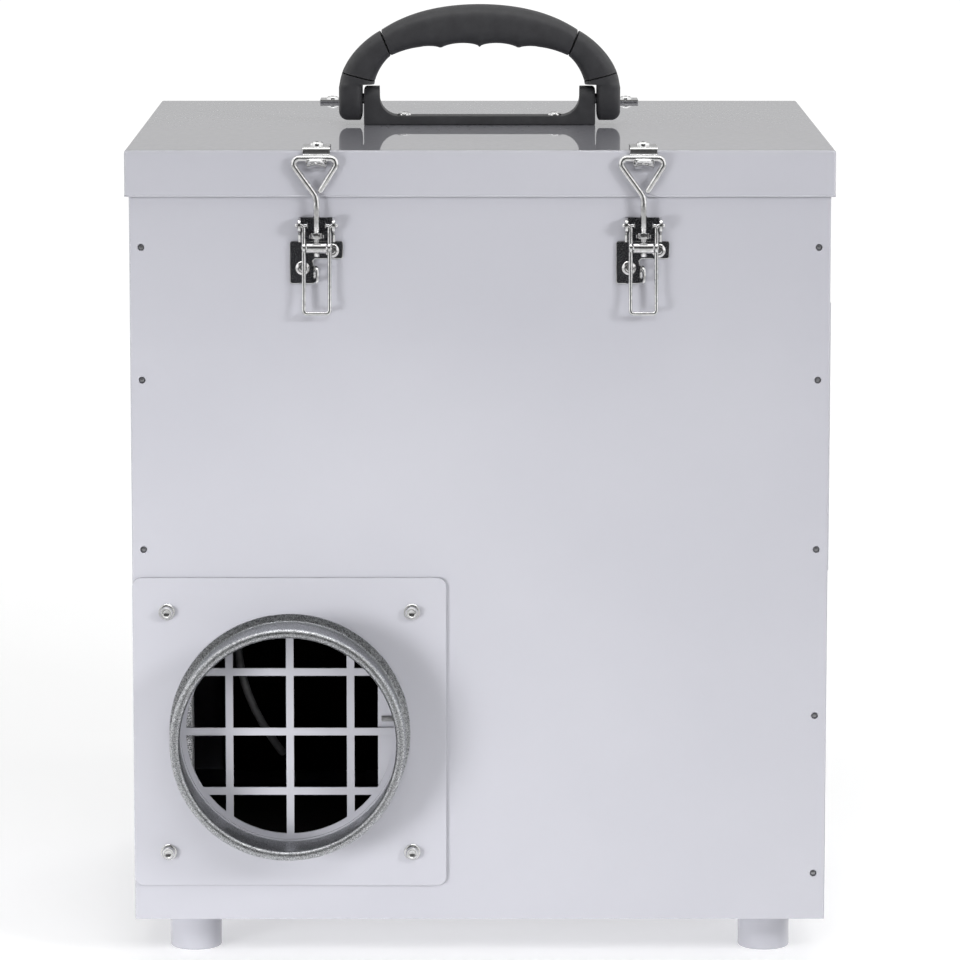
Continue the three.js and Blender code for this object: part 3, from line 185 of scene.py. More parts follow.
def add_finish(name, tones, stops, rough, rough_span, bumps=(), metallic=0.0, coat=0.0, coat_roughness=0.1,
               specular=0.5, sheen=0.0):
    """A Principled material whose colour, roughness and bumps come from patterns in object space. A
    pattern is (scale, detail, roughness, stretch, kind of cells), and is a noise if it has no cells.
    A bump is (pattern, strength, depth in mm)."""
    material = bpy.data.materials.new(name)
    material.use_nodes = True
    tree = material.node_tree
    shader = tree.nodes["Principled BSDF"]
    place = tree.nodes.new("ShaderNodeTexCoord").outputs["Object"]
    settings = {"Metallic": metallic, "Coat Weight": coat, "Coat Roughness": coat_roughness,
                "Specular IOR Level": specular, "Sheen Weight": sheen}
    for key, value in settings.items():
        shader.inputs[key].default_value = value

    def node(kind, **values):
        made = tree.nodes.new(kind)
        for key, value in values.items():
            made.inputs[key].default_value = value
        return made

    def pattern(scale, detail=3.0, roughness=0.5, stretch=None, cells=None):
        at = place
        if stretch:
            mapping = node("ShaderNodeMapping", Scale=stretch)
            tree.links.new(place, mapping.inputs["Vector"])
            at = mapping.outputs["Vector"]
        if cells:
            made = node("ShaderNodeTexVoronoi", Scale=scale)
            made.feature = cells
        else:
            made = node("ShaderNodeTexNoise", Scale=scale, Detail=detail, Roughness=roughness)
        tree.links.new(at, made.inputs["Vector"])
        return made.outputs["Distance" if cells else "Fac"]

    ramp = tree.nodes.new("ShaderNodeValToRGB")
    while len(ramp.color_ramp.elements) < len(stops):
        ramp.color_ramp.elements.new(0.5)
    for element, (at, colour) in zip(ramp.color_ramp.elements, stops):
        element.position = at
        element.color = (*colour, 1)
    tree.links.new(pattern(*tones), ramp.inputs["Fac"])
    tree.links.new(ramp.outputs["Color"], shader.inputs["Base Color"])
    tree.links.new(map_range(tree, pattern(*rough), 0.3, 0.7, *rough_span), shader.inputs["Roughness"])
    normal = None
    for grain, strength, depth_mm in bumps:
        bump = node("ShaderNodeBump", Strength=strength, Distance=depth_mm * MM)
        tree.links.new(pattern(*grain), bump.inputs["Height"])
        if normal is not None:
            tree.links.new(normal, bump.inputs["Normal"])
        normal = bump.outputs["Normal"]
        tree.links.new(normal, shader.inputs["Normal"])
    FINISHES[name] = material


HONEYCOMB = (520, 3.0, 0.5, (1, 1, 0.02), "DISTANCE_TO_EDGE")
add_finish("body_paint", (7,), [(0.3, (0.445, 0.446, 0.490)), (0.7, (0.470, 0.471, 0.514))],
           (260, 2), (0.3, 0.4), [((900, 2), 0.05, 0.05), ((5200, 2), 0.05, 0.02)],
           coat=1.0, coat_roughness=0.02, specular=0.15)
add_finish("galvanised", (1500, 5, 0.75),
           [(0.36, (0.12, 0.12, 0.13)), (0.5, (0.36, 0.37, 0.38)), (0.62, (0.72, 0.73, 0.75))],
           (420, 4, 0.6), (0.24, 0.5), [((1500, 3), 0.12, 0.05), ((90, 2, 0.5, (1, 1, 9)), 0.08, 0.1)],
           metallic=1.0)
add_finish("zinc_plated", (600, 4, 0.6), [(0.3, (0.56, 0.56, 0.56)), (0.6, (0.76, 0.76, 0.76))],
           (900, 3), (0.08, 0.17), [((2600, 2), 0.06, 0.03)], metallic=1.0)
add_finish("latch_plate", (2300, 3, 0.7),
           [(0.38, (0.012, 0.012, 0.015)), (0.52, (0.05, 0.052, 0.058)), (0.7, (0.3, 0.3, 0.31))],
           (1200, 3), (0.3, 0.5), [((2300, 3, 0.7), 0.3, 0.06)], metallic=0.9)
add_finish("handle_plastic", (160, 3), [(0.3, (0.031, 0.031, 0.033)), (0.7, (0.041, 0.041, 0.044))],
           (1400, 3), (0.46, 0.62),
           [((2400, 4, 0.65), 0.35, 0.07), ((1500, 3.0, 0.5, None, "F1"), 0.12, 0.05)], specular=0.42)
add_finish("rubber", (300, 3), [(0.3, (0.012, 0.012, 0.013)), (0.7, (0.022, 0.022, 0.023))],
           (900,), (0.65, 0.85), [((1800,), 0.2, 0.05)], specular=0.3)
add_finish("black_plastic", (120, 2), [(0.3, (0.011, 0.011, 0.012)), (0.7, (0.016, 0.016, 0.018))],
           (1000, 3), (0.36, 0.5), [((3200, 3), 0.15, 0.03)], specular=0.45)
# The cell walls are light and each cell turns dark towards its middle: painted shade down the open channels
# of the honeycomb.
add_finish("desiccant", HONEYCOMB,
           [(0.0, (0.70, 0.67, 0.58)), (0.1, (0.62, 0.59, 0.5)), (0.2, (0.10, 0.095, 0.08))],
           (400,), (0.8, 0.95), [(HONEYCOMB, 0.8, 0.8)], specular=0.2)
add_finish("filter_cloth", (1800, 4, 0.7), [(0.35, (0.62, 0.62, 0.58)), (0.65, (0.80, 0.80, 0.77))],
           (900,), (0.85, 0.98), [((1500, 4, 0.7, (1, 1, 0.3)), 0.5, 0.2)], specular=0.2, sheen=0.2)
add_finish("bare_steel", (200, 4, 0.6, (1, 1, 12)), [(0.3, (0.26, 0.26, 0.27)), (0.7, (0.44, 0.44, 0.45))],
           (700, 3), (0.28, 0.45), [((1200, 2, 0.5, (1, 1, 14)), 0.15, 0.04)], metallic=1.0)
add_finish("lining_foam", (1300, 4, 0.7), [(0.4, (0.02, 0.017, 0.017)), (0.62, (0.05, 0.045, 0.045))],
           (900,), (0.9, 1.0), [((1500, 4, 0.7), 0.7, 0.4)], specular=0.1)
add_finish("lining_edge", (1500, 4, 0.8),
           [(0.42, (0.06, 0.06, 0.065)), (0.5, (0.3, 0.3, 0.31)), (0.6, (0.8, 0.8, 0.82))],
           (900,), (0.8, 0.95), [((1500, 4, 0.8), 0.6, 0.3)], specular=0.2)
add_finish("cable_sheath", (200, 2), [(0.3, (0.03, 0.03, 0.032)), (0.7, (0.05, 0.05, 0.052))],
           (500,), (0.35, 0.5), [((1400,), 0.1, 0.03)], specular=0.4)
add_finish("scale_marking", (900, 2), [(0.3, (0.66, 0.66, 0.64)), (0.7, (0.78, 0.78, 0.76))],
           (900,), (0.5, 0.65), specular=0.3)


# ---------------- shapes: lists of points and faces
def circle(radius, sides, x=0, y=0):
    turns = [2 * PI * i / sides for i in range(sides)]
    return [(x + radius * math.cos(a), y + radius * math.sin(a)) for a in turns]


def box(x0, x1, y0, y1, z0, z1):
    verts = [(x, y, z) for x in (x0, x1) for y in (y0, y1) for z in (z0, z1)]
    faces = [(0, 1, 3, 2), (4, 6, 7, 5), (0, 4, 5, 1), (2, 3, 7, 6), (0, 2, 6, 4), (1, 5, 7, 3)]
    return verts, faces


def prism(outline, low, high, axis="z"):
    """An outline given depth: (x, y) along z, (x, z) along y, or (y, z) along x."""
    count = len(outline)
    place = {
        "z": lambda a, b, t: (a, b, t),
        "y": lambda a, b, t: (a, t, b),
        "x": lambda a, b, t: (t, a, b),
    }[axis]
    verts = [place(a, b, t) for t in (low, high) for a, b in outline]
    faces = [tuple(range(count)), tuple(range(2 * count - 1, count - 1, -1))]
    faces += [(i, i + count, (i + 1) % count + count, (i + 1) % count) for i in range(count)]
    return verts, faces


def lathe(outline, sides):
    """Turned about Z. Points are (radius, height); the outline closes on itself or ends on the axis."""
    verts, rings = [], []
    for radius, height in outline:
        if radius < 1e-6:
            rings.append([len(verts)] * sides)
            verts.append((0, 0, height))
            continue
        rings.append(list(range(len(verts), len(verts) + sides)))
        verts += [(x, y, height) for x, y in circle(radius, sides)]
    on_axis = outline[0][0] < 1e-6 and outline[-1][0] < 1e-6
    pairs = list(zip(rings, rings[1:]))
    if not on_axis:
        pairs.append((rings[-1], rings[0]))
    faces = []
    for a, b in pairs:
        for i in range(sides):
            k = (i + 1) % sides
            corners = []
            for v in (a[i], a[k], b[k], b[i]):
                if v not in corners:
                    corners.append(v)
            if len(corners) > 2:
                faces.append(tuple(corners))
    return verts, faces


def cylinder(radius, low, high, sides):
    return lathe([(0, low), (radius, low), (radius, high), (0, high)], sides)


def loft(rings, closed=False):
    """A skin through rings that all have the same number of points."""
    count = len(rings[0])
    verts = [tuple(p) for ring in rings for p in ring]
    faces = []
    steps = len(rings) if closed else len(rings) - 1
    for s in range(steps):
        a, b = s * count, ((s + 1) % len(rings)) * count
        faces += [(a + i, a + (i + 1) % count, b + (i + 1) % count, b + i) for i in range(count)]
    if not closed:
        last = (len(rings) - 1) * count
        faces.append(tuple(range(count - 1, -1, -1)))
        faces.append(tuple(last + i for i in range(count)))
    return verts, faces


def tube(points, radius, sides=16, closed=False, round_ends=True):
    """A round wire along points, with frames carried along the path."""
    path = [Vector(p) for p in points]
    count = len(path)
    tangents = []
    for i in range(count):
        before = path[i - 1] if (i or closed) else path[i]
        after = path[(i + 1) % count] if (i < count - 1 or closed) else path[i]
        tangents.append((after - before).normalized())
    up = Vector((0, 1, 0)) if abs(tangents[0].y) < 0.9 else Vector((1, 0, 0))
    side = tangents[0].cross(up).normalized()
    rings = []

    def add_ring(centre, tangent, r=radius):
        other = tangent.cross(side)
        rings.append([centre + r * (a * side + b * other) for a, b in circle(1, sides)])

    def add_end(i, sign, leans):
        for lean in leans:
            out = sign * math.cos(lean * PI / 2) * radius
            add_ring(path[i] + tangents[i] * out, tangents[i], math.sin(lean * PI / 2) * radius)

    for i in range(count):
        side = (side - tangents[i] * side.dot(tangents[i])).normalized()
        if i == 0 and round_ends and not closed:
            add_end(i, -1, (0.25, 0.6))
        add_ring(path[i], tangents[i])
        if i == count - 1 and round_ends and not closed:
            add_end(i, 1, (0.6, 0.25))
    return loft(rings, closed)


def merged(*shapes):
    verts, faces = [], []
    for shape_verts, shape_faces in shapes:
        base = len(verts)
        verts += [tuple(v) for v in shape_verts]
        faces += [tuple(i + base for i in face) for face in shape_faces]
    return verts, faces


def moved(shape, matrix):
    verts, faces = shape
    return [tuple(matrix @ Vector(v)) for v in verts], faces


def arc(cx, cy, radius, start, end, steps):
    """Points on an arc, angles in degrees."""
    turns = [math.radians(start + (end - start) * i / steps) for i in range(steps + 1)]
    return [(cx + radius * math.cos(a), cy + radius * math.sin(a)) for a in turns]


def rounded_rectangle(x0, x1, z0, z1, radius, steps=6):
    left, right, low, high = x0 + radius, x1 - radius, z0 + radius, z1 - radius
    corners = ((right, low, -90), (right, high, 0), (left, high, 90), (left, low, 180))
    return [point for x, z, turn in corners for point in arc(x, z, radius, turn, turn + 90, steps)]


def bent(corners, radius, steps=7):
    """A path of straight runs whose corners are rounded."""
    points = [Vector(c) for c in corners]
    path = [points[0]]
    for before, at, after in zip(points, points[1:], points[2:]):
        into = (before - at).normalized()
        out = (after - at).normalized()
        half = into.angle(out) / 2
        back = min(radius / math.tan(half), 0.49 * (before - at).length, 0.49 * (after - at).length)
        true_radius = back * math.tan(half)
        centre = at + (into + out).normalized() * (true_radius / math.sin(half))
        start, end = at + into * back - centre, at + out * back - centre
        turn = start.angle(end)
        for i in range(steps + 1):
            t = i / steps
            swung = start * math.sin((1 - t) * turn) + end * math.sin(t * turn)
            path.append(centre + swung / math.sin(turn))
    path.append(points[-1])
    return path


def bezier(p0, p1, p2, p3, t):
    a, b, c, d = (1 - t) ** 3, 3 * t * (1 - t) ** 2, 3 * t * t * (1 - t), t ** 3
    return tuple(a * k + b * m + c * n + d * o for k, m, n, o in zip(p0, p1, p2, p3))


# ---------------- pieces
def finish_shading(mesh, angle):
    mesh.shade_smooth()
    mesh.set_sharp_from_angle(angle=math.radians(angle))


def new_object(name, shape):
    verts, faces = shape
    mesh = bpy.data.meshes.new(name)
    mesh.from_pydata([Vector(v) * MM for v in verts], [], faces)
    work = bmesh.new()
    work.from_mesh(mesh)
    bmesh.ops.recalc_face_normals(work, faces=work.faces)
    work.to_mesh(mesh)
    work.free()
    obj = bpy.data.objects.new(name, mesh)
    bpy.context.scene.collection.objects.link(obj)
    return obj


def apply_modifiers(obj):
    graph = bpy.context.evaluated_depsgraph_get()
    mesh = bpy.data.meshes.new_from_object(obj.evaluated_get(graph))
    obj.modifiers.clear()
    obj.data = mesh


def boolean(obj, tool, operation):
    modifier = obj.modifiers.new("boolean", "BOOLEAN")
    modifier.operation = operation
    modifier.solver = "EXACT"
    modifier.object = tool
    apply_modifiers(obj)
    bpy.data.objects.remove(tool)


def soften(obj, width, segments=2, angle=35):
    modifier = obj.modifiers.new("edges", "BEVEL")
    modifier.width = width * MM
    modifier.segments = segments
    modifier.limit_method = "ANGLE"
    modifier.angle_limit = math.radians(angle)


def piece(name, shape, body, finish, edge=0.0, segments=2, replaces=(), angle=35, cuts=(), adds=(), only=()):
    """One visible piece: a shape, other shapes joined to it, cut from it or that it is kept within."""
    obj = new_object(name, shape)
    for tools, operation in ((adds, "UNION"), (only, "INTERSECT"), (cuts, "DIFFERENCE")):
        for tool in tools:
            boolean(obj, new_object("tool", tool), operation)
    if edge:
        soften(obj, edge, segments)
        apply_modifiers(obj)
    finish_shading(obj.data, angle)
    obj.data.materials.clear()
    obj.data.materials.append(FINISHES[finish])
    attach(obj, body)
    if replaces:
        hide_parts(*replaces)
    return obj


def turn_to(origin, direction):
    """Takes +Z of a shape to a direction, at an origin."""
    turn = Vector(direction).to_track_quat("Z", "Y").to_matrix().to_4x4()
    return Matrix.Translation(Vector(origin)) @ turn


# ---------------- CAD nodes that stay
def dress(node, finish, edge=0.0, angle=35):
    obj = frame["nodes"][node]
    obj.data.materials.clear()
    obj.data.materials.append(FINISHES[finish])
    weld = obj.modifiers.new("weld", "WELD")
    weld.merge_threshold = 1e-6
    if edge:
        soften(obj, edge, 2)
    smooth = obj.modifiers.new("smooth", "WEIGHTED_NORMAL")
    smooth.keep_sharp = True
    finish_shading(obj.data, angle)


# By finish: the nodes, and how wide their edges are softened.
KEPT = {
    "body_paint": {"side_panel_left": 0.35, "side_panel_right": 0.35, "floor_pan": 0.3, "intake_grille": 0.4},
    "rubber": {"lid_gasket": 0.4, "drive_belt": 0.3},
    "galvanised": {"mid_deck": 0, "rotor_cassette": 0.2, "regen_hood": 0.3},
    "bare_steel": {"rotor_axle": 0, "process_motor": 0.6},
    "black_plastic": {"gear_motor": 0.5, "motor_pulley": 0.3, "regen_blower_housing": 0.5,
                      "regen_impeller": 0, "process_impeller": 0, "control_panel": 0.4,
                      "rocker_switch": 0.4, "power_inlet": 0.3},
    "filter_cloth": {"air_filter": 0.3},
    "desiccant": {"desiccant_rotor": 0},
}
for node_finish, kept_nodes in KEPT.items():
    for node_name, node_edge in kept_nodes.items():
        dress(node_name, node_finish, node_edge)


# ---------------- painted sheets, drawn as whole faces
BOLT_PITCH = 135
GRID_R = 57.5
GRID_PITCH = 33.5
GRID_BAR = 4.2
RIVET_R = 1.9
RIVET_HEIGHTS = (26, 115, 208, 302, 375)
RIVET_INSET = 6.5
LATCH_SCREWS = ((-7.8, -23.7), (8.3, -14.1))    # from the lever's pivot, seen from outside
SCREW_HOLE_R = 2.3
KEEPER_SCREW_IN = 13    # from the lid's edge
HANDLE_SCREW_X = 43.5


def drill(radius, x, z, y0, y1, sides=32):
    """A round tool along Y."""
    return prism(circle(radius, sides, x, z), y0, y1, "y")


def rivet_places():
    return [(side * (SIDE_X - RIVET_INSET), WALL_Z0 + height) for side in (-1, 1) for height in RIVET_HEIGHTS]


def latch_screw_places(turn):
    places = []
    for corner in CORNERS[:2]:
        pivot = joint_mm("latch_lever_" + corner)
        places += [(pivot.x + turn * x, pivot.z + z) for x, z in LATCH_SCREWS]
    return places


def grid_tool():
    half = (GRID_PITCH - GRID_BAR) / 2
    cells = []
    for i in (-1.5, -0.5, 0.5, 1.5):
        for k in (-1.5, -0.5, 0.5, 1.5):
            x, z = DUCT_X + i * GRID_PITCH, DUCT_Z + k * GRID_PITCH
            cells.append(box(x - half, x + half, -FACE_Y - 2, -FACE_Y + 4, z - half, z + half))
    tool = new_object("cells", merged(*cells))
    opening = new_object("round", drill(GRID_R, DUCT_X, DUCT_Z, -FACE_Y - 1, -FACE_Y + 3, 96))
    boolean(tool, opening, "INTERSECT")
    return tool


def sheet_piece(name, outer, rounded, tools, node, finish="body_paint", radius=1.3):
    """A sheet whose outer bends are rounded before its holes are cut."""
    obj = new_object(name, outer)
    weight = obj.data.attributes.new("bevel_weight_edge", "FLOAT", "EDGE")
    for edge in obj.data.edges:
        a, b = (obj.data.vertices[i].co / MM for i in edge.vertices)
        weight.data[edge.index].value = 1.0 if rounded(a, b) else 0.0
    modifier = obj.modifiers.new("bends", "BEVEL")
    modifier.width = radius * MM
    modifier.segments = 5
    modifier.limit_method = "WEIGHT"
    apply_modifiers(obj)
    for tool in tools:
        boolean(obj, tool if isinstance(tool, bpy.types.Object) else new_object("tool", tool), "DIFFERENCE")
    finish_shading(obj.data, 25)
    even = obj.modifiers.new("even", "WEIGHTED_NORMAL")
    even.keep_sharp = True
    obj.data.materials.clear()
    obj.data.materials.append(FINISHES[finish])
    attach(obj, "lid" if node == "lid_shell" else "cabinet")
    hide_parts(node)
    return obj


def build_sheets():
    rim = 6
    for node, sign in (("front_panel", -1), ("rear_panel", 1)):
        near, far = sorted((sign * FACE_Y, sign * (FACE_Y - SHEET)))
        inner = sign * (FACE_Y - SHEET)
        wall = [(sign * FACE_Y, WALL_Z0), (sign * FACE_Y, WALL_Z1), (inner - sign * rim, WALL_Z1),
                (inner - sign * rim, WALL_Z1 - SHEET), (inner, WALL_Z1 - SHEET), (inner, WALL_Z0)]
        shape = prism(wall, -SIDE_X, SIDE_X, "x")

        def outer_bend(a, b, face=sign * FACE_Y):
            upright = abs(a.x - b.x) < 0.1 and abs(a.z - b.z) > 100
            along = abs(a.z - b.z) < 0.1 and abs(a.x - b.x) > 100 and abs(a.z - WALL_Z1) < 0.1
            return (upright or along) and abs(a.y - face) < 0.1 and abs(b.y - face) < 0.1

        across = (near - 1, far + 1)
        holes = [drill(RIVET_R, x, z, *across) for x, z in rivet_places()]
        holes += [drill(SCREW_HOLE_R, x, z, *across, 20) for x, z in latch_screw_places(-sign)]
        tools = []
        if sign < 0:
            holes += [drill(SCREW_HOLE_R, x, z, *across, 20) for x, z in bolt_places()]
            tools.append(grid_tool())
        else:
            for low, high, rim_width in ((GRILLE_LOW, GRILLE_HIGH, 10), (PANEL_LOW, PANEL_HIGH, 7)):
                holes.append(box(low.x + rim_width, high.x - rim_width, *across,
                                 low.z + rim_width, high.z - rim_width))
            holes.append(drill(36, WET_X, WET_Z, *across, 72))
        sheet_piece(node + "_sheet", shape, outer_bend, [merged(*holes)] + tools, node, radius=1.2)


def bolt_places():
    half = BOLT_PITCH / 2
    return [(DUCT_X + i * half, DUCT_Z + k * half) for i in (-1, 1) for k in (1, -1)]


def build_lid():
    hem = 0.45
    x, y = LID_HIGH.x - 0.25, LID_HIGH.y - 0.25
    shape = box(-x, x, -y, y, LID_LOW.z, LID_TOP)

    def bend(a, b):
        on_top = abs(a.z - LID_TOP) < 0.1 and abs(b.z - LID_TOP) < 0.1
        return on_top or abs(a.z - b.z) > 10

    under = LID_TOP - SHEET
    inside = box(-x + SHEET, x - SHEET, -y + SHEET, y - SHEET, LID_LOW.z - 1, under)
    places = [(side_x, side_y * (y - KEEPER_SCREW_IN)) for side_x in (-89, 89) for side_y in (-1, 1)]
    places += [(-HANDLE_SCREW_X, 0), (HANDLE_SCREW_X, 0)]
    hole = cylinder(SCREW_HOLE_R, under - 1, LID_TOP + 1, 20)
    holes = [moved(hole, Matrix.Translation((at_x, at_y, 0))) for at_x, at_y in places]
    sheet_piece("lid_folded", shape, bend, [inside, merged(*holes)], "lid_shell", radius=1.5)
    # The skirt's lower edge is folded back on itself, which leaves a thin bright line.
    x, y = LID_HIGH.x - hem, LID_HIGH.y - hem
    path = [Vector((a, b, LID_LOW.z + hem)) for a, b in ((-x, -y), (x, -y), (x, y), (-x, y))]
    piece("lid_hem", tube(path, hem, 10, closed=True), "lid", "body_paint", angle=70)


def build_duct_plate():
    shape = prism(rounded_rectangle(PLATE_LOW.x, PLATE_HIGH.x, PLATE_LOW.z, PLATE_HIGH.z, 5, 8),
                  PLATE_LOW.y, PLATE_HIGH.y, "y")

    def front_edge(a, b):
        return abs(a.y - PLATE_LOW.y) < 0.05 and abs(b.y - PLATE_LOW.y) < 0.05

    across = (PLATE_LOW.y - 1, PLATE_HIGH.y + 1)
    holes = [drill(SCREW_HOLE_R, x, z, *across, 20) for x, z in bolt_places()]
    holes.append(drill(60.5, DUCT_X, DUCT_Z, *across, 120))
    sheet_piece("duct_plate_cut", shape, front_edge, [merged(*holes)], "duct_plate", radius=0.5)


# ---------------- feet and rivets
def build_feet():
    for corner in CORNERS:
        low, high = box_mm("foot_" + corner)
        radius = (high.x - low.x) / 2
        top = WALL_Z0 - GAP
        outline = [(0, 0), (radius - 1.6, 0)] + arc(radius - 1.6, 1.6, 1.6, -90, 0, 5)[1:]
        outline += [(radius, top - 0.6), (radius - 0.6, top), (3, top), (3, high.z), (0, high.z)]
        shape = moved(lathe(outline, 64), Matrix.Translation(((low.x + high.x) / 2, (low.y + high.y) / 2, 0)))
        piece("foot_" + corner + "_turned", shape, "cabinet", "body_paint", replaces=["foot_" + corner])


def rivet():
    """A fixing seen at the bottom of its hole: a low grey dome below the sheet's face, and a thin lip of
    paint that stands round the hole."""
    dome = [(0, -2.2), (1.7, -2.2), (1.7, -1.3), (1.5, -0.95), (1.1, -0.7), (0.6, -0.58), (0, -0.54)]
    lip = [(RIVET_R - 0.02, -0.2), (RIVET_R + 0.55, -0.02), (RIVET_R + 0.4, 0.1), (RIVET_R + 0.15, 0.16),
           (RIVET_R - 0.02, 0.08)]
    return lathe(lip, 28), lathe(dome, 24)


def build_rivets():
    for face, side in (("front", -1), ("rear", 1)):
        lips, domes = [], []
        for x, z in rivet_places():
            if face == "front" and PLATE_LOW.z < z < PLATE_HIGH.z and x < PLATE_HIGH.x:
                continue        # the duct plate covers this one
            lip, dome = rivet()
            at = turn_to((x, side * FACE_Y, z), (0, side, 0))
            lips.append(moved(lip, at))
            domes.append(moved(dome, at))
        piece("rivet_lips_" + face, merged(*lips), "cabinet", "body_paint", angle=50)
        piece("rivet_domes_" + face, merged(*domes), "cabinet", "bare_steel", angle=50)


# ---------------- screws
def cap_screw(radius, height, socket, washer_radius, washer):
    """Socket-head cap screw on a washer, its seat at z = 0."""
    top = washer + height
    knurl = lathe([(0, washer), (radius - 0.25, washer), (radius, washer + 0.3), (radius, top - 0.7),
                   (radius - 0.55, top), (socket + 0.45, top), (socket + 0.15, top - 0.35),
                   (socket, top - 0.4), (socket, washer + 0.42 * height), (0, washer + 0.3 * height)], 6 * 8)
    ring = lathe([(0.55 * washer_radius, 0), (washer_radius, 0), (washer_radius, washer - 0.15),
                  (washer_radius - 0.15, washer), (0.55 * washer_radius, washer)], 48)
    return knurl, ring


def hex_prism(across_flats, low, high):
    return prism(circle(across_flats / math.sqrt(3), 6), low, high)


def button_screw(radius, height, socket):
    """A low domed screw head with a groove round its raised middle and a hex socket, its seat at z = 0."""
    dome = [(0, 0), (radius, 0), (radius, 0.3 * height)]
    dome += [(radius * math.cos(a), 0.3 * height + 0.7 * height * math.sin(a)) for a in (0.35, 0.6, 0.8)]
    dome += [(0.63 * radius, 0.86 * height), (0.6 * radius, 0.35 * height), (0.54 * radius, 0.35 * height),
             (0.5 * radius, 0.8 * height), (0.36 * radius, 0.86 * height), (0, 0.86 * height)]
    return lathe(dome, 44), hex_prism(2 * socket, 0.08 * height, height + 1)


def build_duct_bolts():
    knurl, washer = cap_screw(3.5, 4.0, 1.75, 4.5, 0.9)
    shank = lathe([(0, -8), (1.6, -8), (2, -7.5), (2, -0.2), (0, -0.2)], 20)
    for name in ("top_left", "low_left", "top_right", "low_right"):
        node = "duct_bolt_" + name
        low, high = box_mm(node)
        at = turn_to(((low.x + high.x) / 2, PLATE_LOW.y - 0.05, (low.z + high.z) / 2), (0, -1, 0))
        piece(node + "_head", moved(knurl, at), "cabinet", "zinc_plated", replaces=[node], angle=40,
              cuts=[moved(hex_prism(3.2, 2.6, 6), at)])
        piece(node + "_washer", moved(washer, at), "cabinet", "zinc_plated", angle=40)
        piece(node + "_shank", moved(shank, at), "cabinet", "zinc_plated")


# ---------------- duct spigots
def spigot_shape(outer, reach, foot, sides):
    """Foot ring, tube and rolled rim, standing on z = 0."""
    wall = 1.2
    bead = 2.7
    middle = outer - wall / 2
    centre = reach - bead
    rim = [(middle + bead * math.cos(a), centre + bead * math.sin(a))
           for a in (math.radians(-75 + 330 * i / 20) for i in range(21))]
    outline = [(outer - wall, 0), (outer + foot, 0), (outer + foot, 1.0), (outer + 1.2, 1.0)]
    outline += [(outer + 0.35, 1.35), (outer, 2.2), (outer, reach - 2 * bead - 0.6)] + rim
    outline += [(outer - wall, reach - 2 * bead - 0.8)]
    return lathe(outline, sides)


def build_spigots():
    front, back = PLATE_LOW.y - GAP, FACE_Y + GAP
    reach = front - DUCT_LOW.y
    at = turn_to((DUCT_X, front, DUCT_Z), (0, -1, 0))
    piece("duct_spigot_rolled", moved(spigot_shape(62.5, reach, 4, 144), at), "cabinet", "galvanised",
          replaces=["duct_spigot"], angle=40)
    # The lock seam that closes the tube lies inside it, a little to the right of the top.
    seam = box(-2.2, 2.2, -61.4, -60.7, 0.5, reach - 6.5)
    piece("duct_spigot_seam", moved(seam, at @ Matrix.Rotation(math.radians(180 + 15), 4, "Z")), "cabinet",
          "galvanised", edge=0.25)
    wet_at = turn_to((WET_X, back, WET_Z), (0, 1, 0))
    piece("wet_air_spigot_rolled", moved(spigot_shape(40, WET_HIGH.y - back, 4, 112), wet_at), "cabinet",
          "galvanised", replaces=["wet_air_spigot"], angle=40)


# ---------------- toggle latches
LEVER_ARM = 12.2        # from the lever's pivot down to the barrel
BAIL_LEN = 48.8
PIVOT_OUT = 6.8         # from the cabinet's face
BAR_Z = BAIL_LEN - LEVER_ARM
BAIL_APEX = BAR_Z - 21.1
EAR_X = 9.3


def latch_place(corner):
    pivot = joint_mm("latch_lever_" + corner)
    rear = pivot.y > 0
    face = Matrix.Translation((pivot.x, FACE_Y if rear else -FACE_Y, pivot.z))
    return face @ Matrix.Rotation(PI if rear else 0, 4, "Z")

def across_latch(x, z):
    """Lays a turned shape along the latch's pivot line, or on a line parallel to it."""
    return turn_to((x, -PIVOT_OUT, z), (1, 0, 0))


def inset(outline, distance):
    """An outline moved inwards, whichever way round it runs."""
    count = len(outline)
    area = sum(outline[i][0] * outline[(i + 1) % count][1] - outline[(i + 1) % count][0] * outline[i][1]
               for i in range(count))
    sign = 1 if area > 0 else -1
    moved_in = []
    for i in range(count):
        a, b, c = (Vector(outline[k % count]) for k in (i - 1, i, i + 1))
        first, second = (b - a).normalized(), (c - b).normalized()
        normals = [Vector((-d.y, d.x)) * sign for d in (first, second)]
        middle = (normals[0] + normals[1]).normalized()
        moved_in.append(tuple(b + middle * (distance / max(0.4, middle.dot(normals[0])))))
    return moved_in


def latch_base_shapes():
    """L-shaped plate with its dark face, the fork behind it, and the two ears."""
    y0, y1 = -GAP - SHEET, -GAP
    outline = arc(-13.4, -10.4, 1.4, 90, 180, 5) + arc(-13.4, -31, 1.4, 180, 270, 5)
    outline += [(-1.9, -32.4), (-1.9, -20.2)] + arc(-0.4, -20.2, 1.5, 180, 90, 4)
    outline += arc(12.9, -17.3, 1.4, -90, 0, 5) + arc(12.9, -10.4, 1.4, 0, 90, 5)
    plate = prism(outline, y0, y1, "y")
    face = prism(inset(outline, 0.4), y0 - 0.06, y0 + 0.3, "y")
    fork = [(-EAR_X + 0.7, 3.9), (-EAR_X + 0.7, -10), (EAR_X - 0.7, -10), (EAR_X - 0.7, 3.9)]
    web = prism(fork, y0 + 0.45, y1, "y")
    ear = [(y1, -9.5), (y1, 3.9)] + arc(-PIVOT_OUT, 0, 3.9, 90, 250, 16)
    ear += [(y0 - 1.2, -5.6), (y0 - 0.2, -9.5)]
    ears = [prism(ear, x - 0.7, x + 0.7, "x") for x in (-EAR_X, EAR_X)]
    return plate, face, web, ears, moved(cylinder(1.25, -12, 12, 24), across_latch(0, 0))


